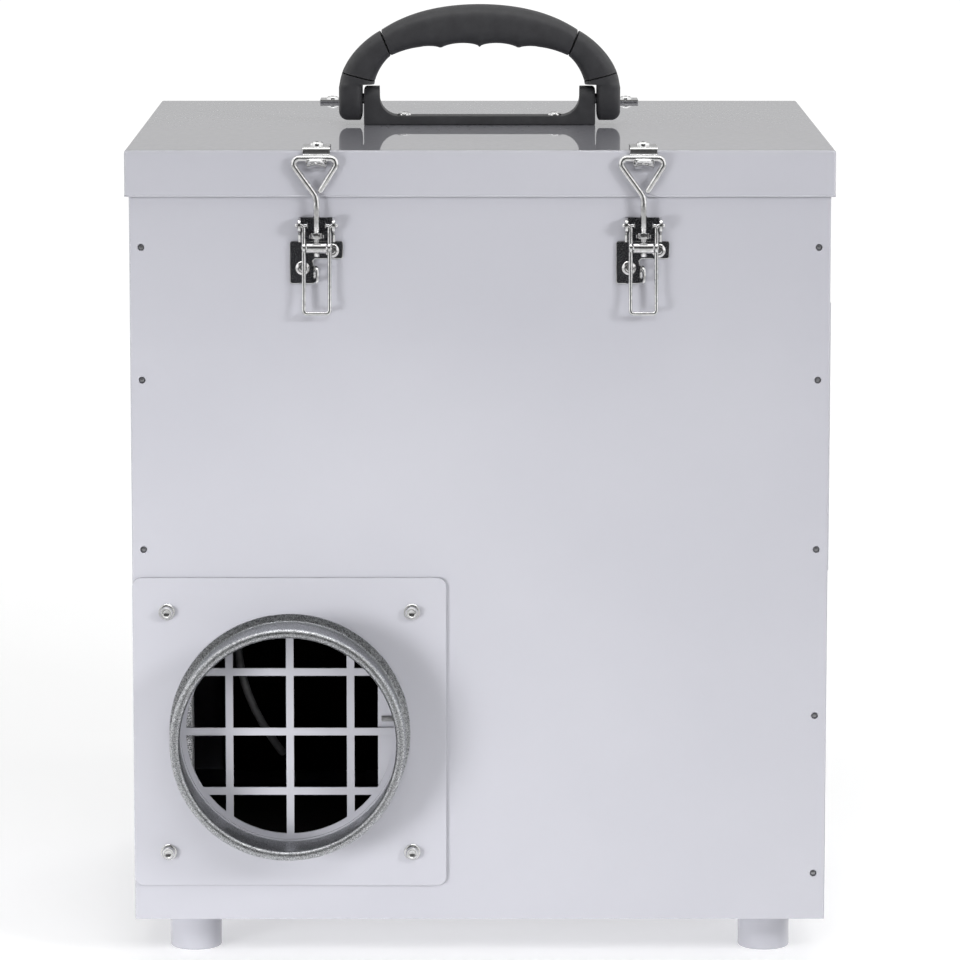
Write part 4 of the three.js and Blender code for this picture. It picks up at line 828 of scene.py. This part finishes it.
def padlock_eye_shape():
    """The tongue stands out from the plate and leans a little, so its face shows from in front."""
    root = -GAP - SHEET + 0.3
    eye = [(root, -22.6), (root - 1.6, -22.2)] + arc(root - 4.2, -25.6, 3.6, 85, 180, 8)
    eye += arc(root - 4.2, -28.9, 3.6, 180, 275, 8) + [(root - 1.6, -32.3), (root, -31.8)]
    tongue = prism(eye, -0.65, 0.65, "x")
    hole = moved(cylinder(2, -2, 2, 28), turn_to((0, root - 4.4, -27.2), (1, 0, 0)))
    turn = Matrix.Rotation(math.radians(20), 4, "Z")
    lean = Matrix.Translation((-2.1, root, 0)) @ turn @ Matrix.Translation((0, -root, 0))
    return moved(tongue, lean), moved(hole, lean)


def latch_lever_shape():
    """One wire: pivot ends turned out into the ears, two legs and a bottom bar kinked outwards."""
    def half(sign):
        return [(sign * 10.8, -PIVOT_OUT, 0), (sign * 7, -PIVOT_OUT, 0), (sign * 7, -PIVOT_OUT, -38),
                (sign * 7, -PIVOT_OUT - 2.4, -48)]
    return tube(bent(half(-1) + half(1)[::-1], 1.9, 8), 1.12, 20)


def latch_eye_shape(sign):
    ring = lathe([(1.35, -1.0), (2.2, -1.0), (2.6, -0.6), (2.6, 0.6), (2.2, 1.0), (1.35, 1.0)], 32)
    return moved(ring, across_latch(sign * 7, -LEVER_ARM))


def latch_barrel_shapes():
    outline = [(0, -7.4), (0.9, -7.4), (0.9, -5.65), (2.6, -5.65), (3.0, -5.25), (3.0, 5.25), (2.6, 5.65),
               (0.9, 5.65), (0.9, 7.4), (0, 7.4)]
    hole = moved(cylinder(2.1, -6, 6, 24), Matrix.Translation((0, -PIVOT_OUT, -LEVER_ARM)))
    return moved(lathe(outline, 40), across_latch(0, -LEVER_ARM)), hole


def bail_path():
    """One wire: up the shank, across to the left corner, along the bar and back down to the bend."""
    end = 0.17
    corners = [(0, -1.0), (0, BAIL_APEX), (-15.3, BAR_Z), (13.2, BAR_Z),
               (end * 13 + 0.1, BAIL_APEX + end * 21.1)]
    points = [Vector((x, 0, z)) for x, z in corners]
    low = bent(points[:3], 9.5, 12)[:-1]
    high = bent([low[-1]] + points[2:], 3.2, 12)
    return [p + Vector((0, -PIVOT_OUT, 0)) for p in low + high[1:]]


def threaded_rod(radius, low, high, pitch, depth):
    """A shank with rolled thread ridges, turned about Z."""
    outline = [(0, low), (radius - depth, low)]
    count = int((high - low) / pitch)
    for i in range(count):
        z = low + i * pitch
        outline += [(radius, z + 0.4 * pitch), (radius - depth, z + 0.9 * pitch)]
    outline += [(radius - depth, high), (0, high)]
    return lathe(outline, 24)


def latch_bail_shapes():
    wire = tube(bail_path(), 1.75, 24)
    at = Matrix.Translation((0, -PIVOT_OUT, 0))
    thread = moved(threaded_rod(1.85, -LEVER_ARM - 4.8, -0.6, 0.7, 0.22), at)
    return wire, thread


def latch_nut_shape():
    radius = 4.04
    low, high = -LEVER_ARM + 5.1, -LEVER_ARM + 8.3
    cone = lathe([(0, low), (radius - 0.5, low), (radius + 0.1, low + 0.4), (radius + 0.1, high - 0.4),
                  (radius - 0.5, high), (0, high)], 48)
    at = Matrix.Translation((0, -PIVOT_OUT, 0))
    return moved(hex_prism(7, low, high), at), moved(cone, at)


def keeper_shapes():
    """A strip over the lid's edge, and its lip, which curls under and round the arc of the bail's bar
    and narrows towards its tip."""
    strip_in = LID_HIGH.y - FACE_Y + GAP
    strip_out = strip_in + SHEET
    top = LID_TOP - joint_mm("latch_lever_front_left").z + GAP + SHEET
    crown = [(-strip_out + 1.6 * (1 - math.cos(a)), top - 1.6 * (1 - math.sin(a))) for a in
             (PI / 2 * k / 6 for k in range(7))]
    bar_back = BAR_Z - 0.2
    strip = [(20.5 - strip_in, top - SHEET), (20.5 - strip_in, top)] + crown[::-1]
    strip += [(-strip_out, bar_back), (-strip_in, bar_back), (-strip_in, top - SHEET)]
    # The hook's line, as distance in front of the bar and height above it, with half its width there.
    line = [(strip_out - PIVOT_OUT - SHEET / 2, -0.6, 6.4), (strip_out - PIVOT_OUT - SHEET / 2, -3.2, 5.7),
            (-2.6, -4.5, 5.5), (-1.2, -5.2, 5.4), (0.4, -5.1, 5.3), (1.8, -4.4, 5.3), (3.6, -3.3, 5.2),
            (5.4, -2.1, 4.7), (7.0, -0.9, 3.7), (7.7, -0.3, 2.95)]
    rings = []
    for k, (out, up, half) in enumerate(line):
        a, b = line[max(k - 1, 0)], line[min(k + 1, len(line) - 1)]
        along = Vector((b[0] - a[0], b[1] - a[1])).normalized()
        side = Vector((-along.y, along.x)) * (0.42 * SHEET)
        ring = []
        for x, turn in ((-half, -1), (half, -1), (half, 1), (-half, 1)):
            ring.append((x, -PIVOT_OUT - out - turn * side.x, BAR_Z + up + turn * side.y))
        rings.append(ring)
    return prism(strip, -7.5, 7.5, "x"), loft(rings), top


def build_latch(corner):
    at = latch_place(corner)
    lever, bail = "latch_lever_body_" + corner, "latch_bail_body_" + corner

    def add(name, shape, body="cabinet", finish="zinc_plated", place=at, cut=None, only=None, **looks):
        piece(name + "_" + corner, moved(shape, place), body, finish, cuts=[moved(cut, place)] if cut else (),
              only=[moved(only, place)] if only else (), **looks)

    plate, face, web, ears, pivot_hole = latch_base_shapes()
    add("latch_plate", plate, edge=0.2, replaces=["latch_base_" + corner])
    add("latch_face", face, finish="latch_plate")
    add("latch_web", web, finish="latch_plate", edge=0.2)
    for side, ear in zip(("left", "right"), ears):
        add("latch_ear_" + side, ear, edge=0.25, cut=pivot_hole)
    tongue, eye_hole = padlock_eye_shape()
    add("padlock_eye", tongue, edge=0.22, cut=eye_hole)
    head, socket = button_screw(4, 1.7, 1.25)
    for index, (x, z) in enumerate(LATCH_SCREWS):
        add("latch_screw_%d" % (index + 1), head, place=at @ turn_to((x, -GAP - SHEET, z), (0, -1, 0)),
            cut=socket, angle=40)
    add("lever_wire", latch_lever_shape(), lever, replaces=["latch_lever_" + corner], angle=60)
    for sign, side in ((-1, "left"), (1, "right")):
        add("lever_eye_" + side, latch_eye_shape(sign), lever, angle=40)
        for which, reach, width in (("outer", EAR_X + 1.1, 0.35), ("inner", 4.9, 0.3)):
            collar = lathe([(0.9, -width), (1.7, -width), (2.0, 0), (1.7, width), (0.9, width)], 28)
            add("lever_%s_washer_%s" % (which, side), moved(collar, across_latch(sign * reach, 0)), lever,
                angle=50)
        stub = moved(cylinder(0.85, -1.2, 1.2, 20), across_latch(sign * 5.9, 0))
        add("lever_stub_" + side, stub, lever, angle=50)
    bar, hole = latch_barrel_shapes()
    add("barrel_turned", bar, bail, cut=hole, replaces=["latch_barrel_" + corner], angle=40)
    wire, thread = latch_bail_shapes()
    add("bail_wire", wire, bail, replaces=["latch_bail_" + corner], angle=50)
    add("bail_thread", thread, bail, angle=30)
    nut, cone = latch_nut_shape()
    add("bail_nut", nut, bail, only=cone, edge=0.1)
    strip, lip, top = keeper_shapes()
    add("keeper_strip", strip, "lid", edge=0.22, angle=30, replaces=["latch_keeper_" + corner])
    add("keeper_lip", lip, "lid", edge=0.2, angle=40)
    head, socket = button_screw(3.65, 2.2, 1.25)
    seat = at @ Matrix.Translation((0, -(LID_HIGH.y - FACE_Y) + KEEPER_SCREW_IN, top))
    add("keeper_screw", head, "lid", place=seat, cut=socket, angle=40)


# ---------------- handle
# Points of the arch's right half are (distance from the middle, height over the lid).
HALF_DEPTH = 12.5
PIVOT_H = 14.8
LEG_OUT = 81
LEG_IN = 67.3
TAIL = (60.5, 23.4)
CROWN_OUT = (56.9, 54)
CROWN_IN = (51, 39.6)
CAP_IN = (60.2, 25.2)
GROOVE = 22.3           # pitch of the finger grooves


def crown_outer(x):
    """Height of the arch's top over the lid, a flat-topped curve."""
    return 69 - 0.00341 * x * x - 3.77e-7 * x ** 4


def crown_inner(x):
    """Underside of the grip, with the finger grooves."""
    if abs(x) > 1.5 * GROOVE:
        start = (1.5 * GROOVE, 44.6)
        t = (abs(x) - start[0]) / (CROWN_IN[0] - start[0])
        return start[1] + (CROWN_IN[1] - start[1]) * (0.35 * t + 0.65 * t * t)
    groove = 2.5 * math.sqrt(abs(math.sin(PI * x / GROOVE)) + 1e-9)
    return 44.5 - 1.0 * (x / GROOVE) ** 2 + groove


def side_outer(t):
    return bezier(CROWN_OUT, (69.0, 47.4), (80.4, 34.5), (LEG_OUT - 0.3, 22), t)


def side_inner(t):
    return bezier(CROWN_IN, (54.6, 37.0), (58.6, 31.0), CAP_IN, t)


def arch_ring(outer, inner, half_depth, power=2.9, points=44):
    """A squarish round section between the arch's outer and inner points."""
    mid_x, mid_h = (outer[0] + inner[0]) / 2, (outer[1] + inner[1]) / 2
    run_x, run_h = (outer[0] - inner[0]) / 2, (outer[1] - inner[1]) / 2
    ring = []
    for i in range(points):
        angle = 2 * PI * i / points
        c, s = math.cos(angle), math.sin(angle)
        a = math.copysign(abs(c) ** (2 / power), c)
        b = math.copysign(abs(s) ** (2 / power), s)
        ring.append((mid_x + run_x * a, half_depth * b, LID_TOP + mid_h + run_h * a))
    return ring


def grip_rings():
    rings = []
    steps = 84
    for i in range(steps + 1):
        u = -1 + 2 * i / steps
        x_out = u * (CROWN_OUT[0] - GAP)
        x_in = u * (CROWN_IN[0] - GAP)
        rings.append(arch_ring((x_out, crown_outer(x_out)), (x_in, crown_inner(x_in)), HALF_DEPTH))
    return rings


def shrunk(ring, share):
    centre = sum((Vector(p) for p in ring), Vector()) / len(ring)
    return [tuple(centre + (Vector(p) - centre) * share) for p in ring]


def capped(rings):
    """Rings whose two ends turn in, so that a split line between pieces reads as a groove."""
    first, last = rings[0], rings[-1]
    return [shrunk(first, 0.955)] + [first] + rings[1:-1] + [last] + [shrunk(last, 0.955)]


def spread(rings, end_step=0.55):
    """Moves the inset end rings a little past the ends."""
    def beyond(edge, inside):
        a = sum((Vector(p) for p in edge), Vector()) / len(edge)
        b = sum((Vector(p) for p in inside), Vector()) / len(inside)
        return (a - b).normalized() * end_step
    start = beyond(rings[1], rings[2])
    end = beyond(rings[-2], rings[-3])
    low = [tuple(Vector(p) - start * 0.5) for p in rings[1]]
    high = [tuple(Vector(p) - end * 0.5) for p in rings[-2]]
    return [rings[0]] + [low] + rings[2:-2] + [high] + [rings[-1]]


def side_rings():
    """The curved side segment between the grip and the leg's cap, on the right."""
    start, end, steps = 0.012, 0.78, 22
    rings = []
    for i in range(steps + 1):
        t = i / steps
        outer, inner = side_outer(start + (end - start) * t), side_inner(start + 0.98 * t)
        rings.append(arch_ring(outer, inner, HALF_DEPTH, 3.0))
    return rings


def leg_rings():
    """The leg's cap, from its round foot up to the split line, on the right."""
    rings = []
    corner = 5.5
    foot = PIVOT_H - HALF_DEPTH
    heights = [foot + HALF_DEPTH * (1 - math.cos(i * PI / 20)) for i in range(1, 10)]
    heights += [PIVOT_H, 17, 19.5, 21.5]
    for h in heights:
        depth = math.sqrt(max(HALF_DEPTH ** 2 - max(PIVOT_H - h, 0) ** 2, 0.2))
        rise = min(h - foot, corner)
        cut_back = corner - math.sqrt(corner ** 2 - (corner - rise) ** 2)
        rings.append(arch_ring((LEG_OUT - cut_back, h), (LEG_IN + 0.35 * cut_back, h), depth, 4.2))
    rings.append(arch_ring((LEG_OUT - 0.35, 23.2), (LEG_IN, TAIL[1] - 0.1), HALF_DEPTH, 4.2))
    rings.append(arch_ring((LEG_OUT - 0.4, 23.8), TAIL, HALF_DEPTH, 3.8))
    rings.append(arch_ring((LEG_OUT - 0.9, 26.5), (TAIL[0] - 0.15, 24.4), HALF_DEPTH, 3.2))
    rings.append(arch_ring(side_outer(0.79), (CAP_IN[0] + 0.1, CAP_IN[1] - 0.35), HALF_DEPTH, 3.0))
    return rings


def mirrored_rings(rings, sign):
    return [[(sign * x, y, z) for x, y, z in ring] for ring in rings]


def handle_base_shapes():
    post_out = LEG_OUT - 13.7 - 0.8
    post_in = post_out - 9
    top, thick, fillet = 22, 5.2, 11
    outline = [(-post_out, GAP), (post_out, GAP), (post_out, top - 2)]
    outline += arc(post_out - 2, top - 2, 2, 0, 90, 4)[1:]
    outline += [(post_in, top)] + arc(post_in - fillet, thick + fillet, fillet, 0, -90, 12)
    outline += arc(-post_in + fillet, thick + fillet, fillet, -90, -180, 12) + [(-post_in, top)]
    outline += arc(-post_out + 2, top - 2, 2, 90, 180, 4)
    outline = [(x, LID_TOP + h) for x, h in outline]
    side = [(-8, LID_TOP - 1), (8, LID_TOP - 1)]
    side += [(y, LID_TOP + h) for y, h in arc(0, PIVOT_H, 8, 0, 180, 20)]
    return prism(outline, -8, 8, "y"), prism(side, -post_out - 1, post_out + 1, "x"), post_out, thick


def build_handle():
    piece("grip_moulding", loft(spread(capped(grip_rings()))), "handle", "handle_plastic", angle=55,
          replaces=["handle_grip"])
    sides = ((-1, "left"), (1, "right"))
    for sign, side in sides:
        arch_side = loft(spread(capped(mirrored_rings(side_rings(), sign))))
        piece("arch_side_" + side, arch_side, "handle", "handle_plastic", angle=55)
        piece("leg_cap_" + side, loft(mirrored_rings(leg_rings(), sign)), "handle", "handle_plastic",
              angle=50, replaces=["handle_leg_" + side])
    body, keep, post_out, thick = handle_base_shapes()
    piece("handle_base_moulding", body, "lid", "handle_plastic", only=[keep], edge=0.55, segments=3,
          replaces=["handle_base"])
    head, socket = button_screw(4, 2, 1.25)
    pin = lathe([(0, -1.5), (3, -1.5), (3, 8.4), (2.6, 8.8), (0, 8.8)], 28)
    for sign, side in sides:
        seat = Matrix.Translation((sign * HANDLE_SCREW_X, 0, LID_TOP + thick))
        piece("handle_screw_" + side, moved(head, seat), "lid", "zinc_plated", cuts=[moved(socket, seat)],
              angle=40)
        place = turn_to((sign * post_out, 0, LID_TOP + PIVOT_H), (sign, 0, 0))
        piece("handle_pin_" + side, moved(pin, place), "lid", "bare_steel", angle=40)


# ---------------- inside the lower plenum
def build_lower_inside():
    """The lining of the lower chamber, and what the outlet's grid shows of it. A stiffener stands upright at
    the right of the outlet, with a clip on it and a cable near it."""
    back = FACE_Y - 4
    front = -FACE_Y + 3
    floor = PAN_LOW.z + SHEET + 0.4
    roof = DECK_LOW.z - 0.6
    side = PAN_HIGH.x - SHEET - 0.5
    foam = 8
    boxes = (
        ("lining_rear", "lining_foam", 1.2,
         (-side + 30, -side + 205, back - foam - 16, back - 16, floor + 16, roof)),
        ("lining_floor", "lining_foam", 1.2,
         (-side + 1, -60, -back + 22, back - 26, floor + 0.2, floor + foam)),
        ("lining_roof", "lining_foam", 1.2, (-side + 2, -112, -back + 8, back - 26, roof - foam, roof)),
        ("lining_side", "lining_edge", 1.2,
         (-side, -side + foam, -back + 26, back - 26, floor + foam + 0.4, roof - foam - 0.4)),
        ("lining_strip", "lining_edge", 0.8,
         (DUCT_X - 62, DUCT_X - 54.5, front, front + 26, DUCT_Z - 60, DUCT_Z + 50)),
        ("outlet_stiffener", "body_paint", 0.3,
         (DUCT_X + 48.5, DUCT_X + 74, front + 1, front + 2.2, DUCT_Z - 46, DUCT_Z + 62)),
        ("stiffener_clip", "bare_steel", 0.4,
         (DUCT_X + 50.5, DUCT_X + 59, front - 0.6, front + 0.8, DUCT_Z + 5.2, DUCT_Z + 8.4)),
    )
    for name, finish, edge, limits in boxes:
        piece(name, box(*limits), "cabinet", finish, edge=edge)
    ends = ((DUCT_X - 30, front + 12, roof - 9), (DUCT_X - 30, front + 10, DUCT_Z + 30),
            (DUCT_X - 24, front + 10, DUCT_Z + 12), (DUCT_X - 6, front + 40, DUCT_Z - 20))
    run = [bezier(*ends, k / 24) for k in range(25)]
    piece("fan_cable", tube(run, 2.2, 16), "cabinet", "cable_sheath", angle=60)


def build_rear_details():
    """Screws of the grille and the control panel, and the scale round the humidistat's knob."""
    head = lathe([(0, 0), (2.4, 0), (2.2, 0.5), (1.4, 0.9), (0, 1.0)], 24)
    screws = []
    for low, high, inset_by in ((GRILLE_LOW, GRILLE_HIGH, 6), (PANEL_LOW, PANEL_HIGH, 4.5)):
        for x in (low.x + inset_by, high.x - inset_by):
            for z in (low.z + inset_by, high.z - inset_by):
                screws.append(moved(head, turn_to((x, high.y, z), (0, 1, 0))))
    piece("rear_screws", merged(*screws), "cabinet", "zinc_plated", angle=40)
    centre = Matrix.Translation(((KNOB_LOW.x + KNOB_HIGH.x) / 2, 0, (KNOB_LOW.z + KNOB_HIGH.z) / 2))
    radius = (KNOB_HIGH.x - KNOB_LOW.x) / 2 + 3.2
    ticks = []
    for k in range(11):
        length = 2.6 if k % 5 == 0 else 1.6
        mark = box(-0.35, 0.35, PANEL_HIGH.y, PANEL_HIGH.y + 0.15, radius, radius + length)
        ticks.append(moved(mark, centre @ Matrix.Rotation(math.radians(-135 + 27 * k), 4, "Y")))
    piece("humidistat_scale", merged(*ticks), "cabinet", "scale_marking")


def build_heater():
    """A tubular element that runs to and fro under the regeneration hood."""
    height = box_mm("regen_hood")[0].z + 3.4
    path = []
    for row, radius in enumerate((48, 62, 76, 90, 104)):
        run = [(x, y, height) for x, y in arc(0, 0, radius, 12, 74, 16)]
        path += run[::-1] if row % 2 else run
    piece("heater_element", tube(path, 1.7, 12), "cabinet", "bare_steel", angle=60)


def build_side_details():
    """A low cover strip that stands on the cabinet's right side, and fixings on both sides."""
    head = lathe([(0, 0), (2.3, 0), (2.1, 0.35), (1.2, 0.6), (0, 0.65)], 24)
    heads = []
    for y in (-FACE_Y + 40, FACE_Y - 40):
        for z in (WALL_Z0 + 40, (WALL_Z0 + WALL_Z1) / 2, WALL_Z1 - 60):
            for sign in (-1, 1):
                heads.append(moved(head, turn_to((sign * SIDE_X, y, z), (sign, 0, 0))))
    piece("side_fixings", merged(*heads), "cabinet", "body_paint", angle=40)
    strip = box(SIDE_X + 0.05, SIDE_X + 1.3, -FACE_Y + 14, FACE_Y - 60, 219, 368)
    piece("right_cover_strip", strip, "cabinet", "body_paint", edge=0.4)


build_sheets()
build_lid()
build_duct_plate()
build_feet()
build_rivets()
build_duct_bolts()
build_spigots()
for latch_corner in CORNERS:
    build_latch(latch_corner)
build_handle()
build_lower_inside()
build_rear_details()
build_heater()
build_side_details()


# ---------------- floor
def build_floor():
    add_finish("studio_floor", (3, 2), [(0.3, (0.80, 0.80, 0.80)), (0.7, (0.82, 0.82, 0.82))],
               (40,), (0.65, 0.75), specular=0.2)
    material = FINISHES["studio_floor"]
    tree = material.node_tree
    shader = tree.nodes["Principled BSDF"]
    # The floor glows as far as just in front of the cabinet, and the glow fades out towards the camera.
    axes = tree.nodes.new("ShaderNodeSeparateXYZ")
    tree.links.new(tree.nodes.new("ShaderNodeTexCoord").outputs["Object"], axes.inputs["Vector"])
    glow = map_range(tree, axes.outputs["Y"], -0.75, -0.2, 0.0, 0.4)
    tree.links.new(glow, shader.inputs["Emission Strength"])
    shader.inputs["Emission Color"].default_value = (1, 1, 1, 1)
    floor = new_object("studio_floor", box(-3000, 3000, -3000, 1600, -30, 0))
    floor.data.materials.append(material)


build_floor()
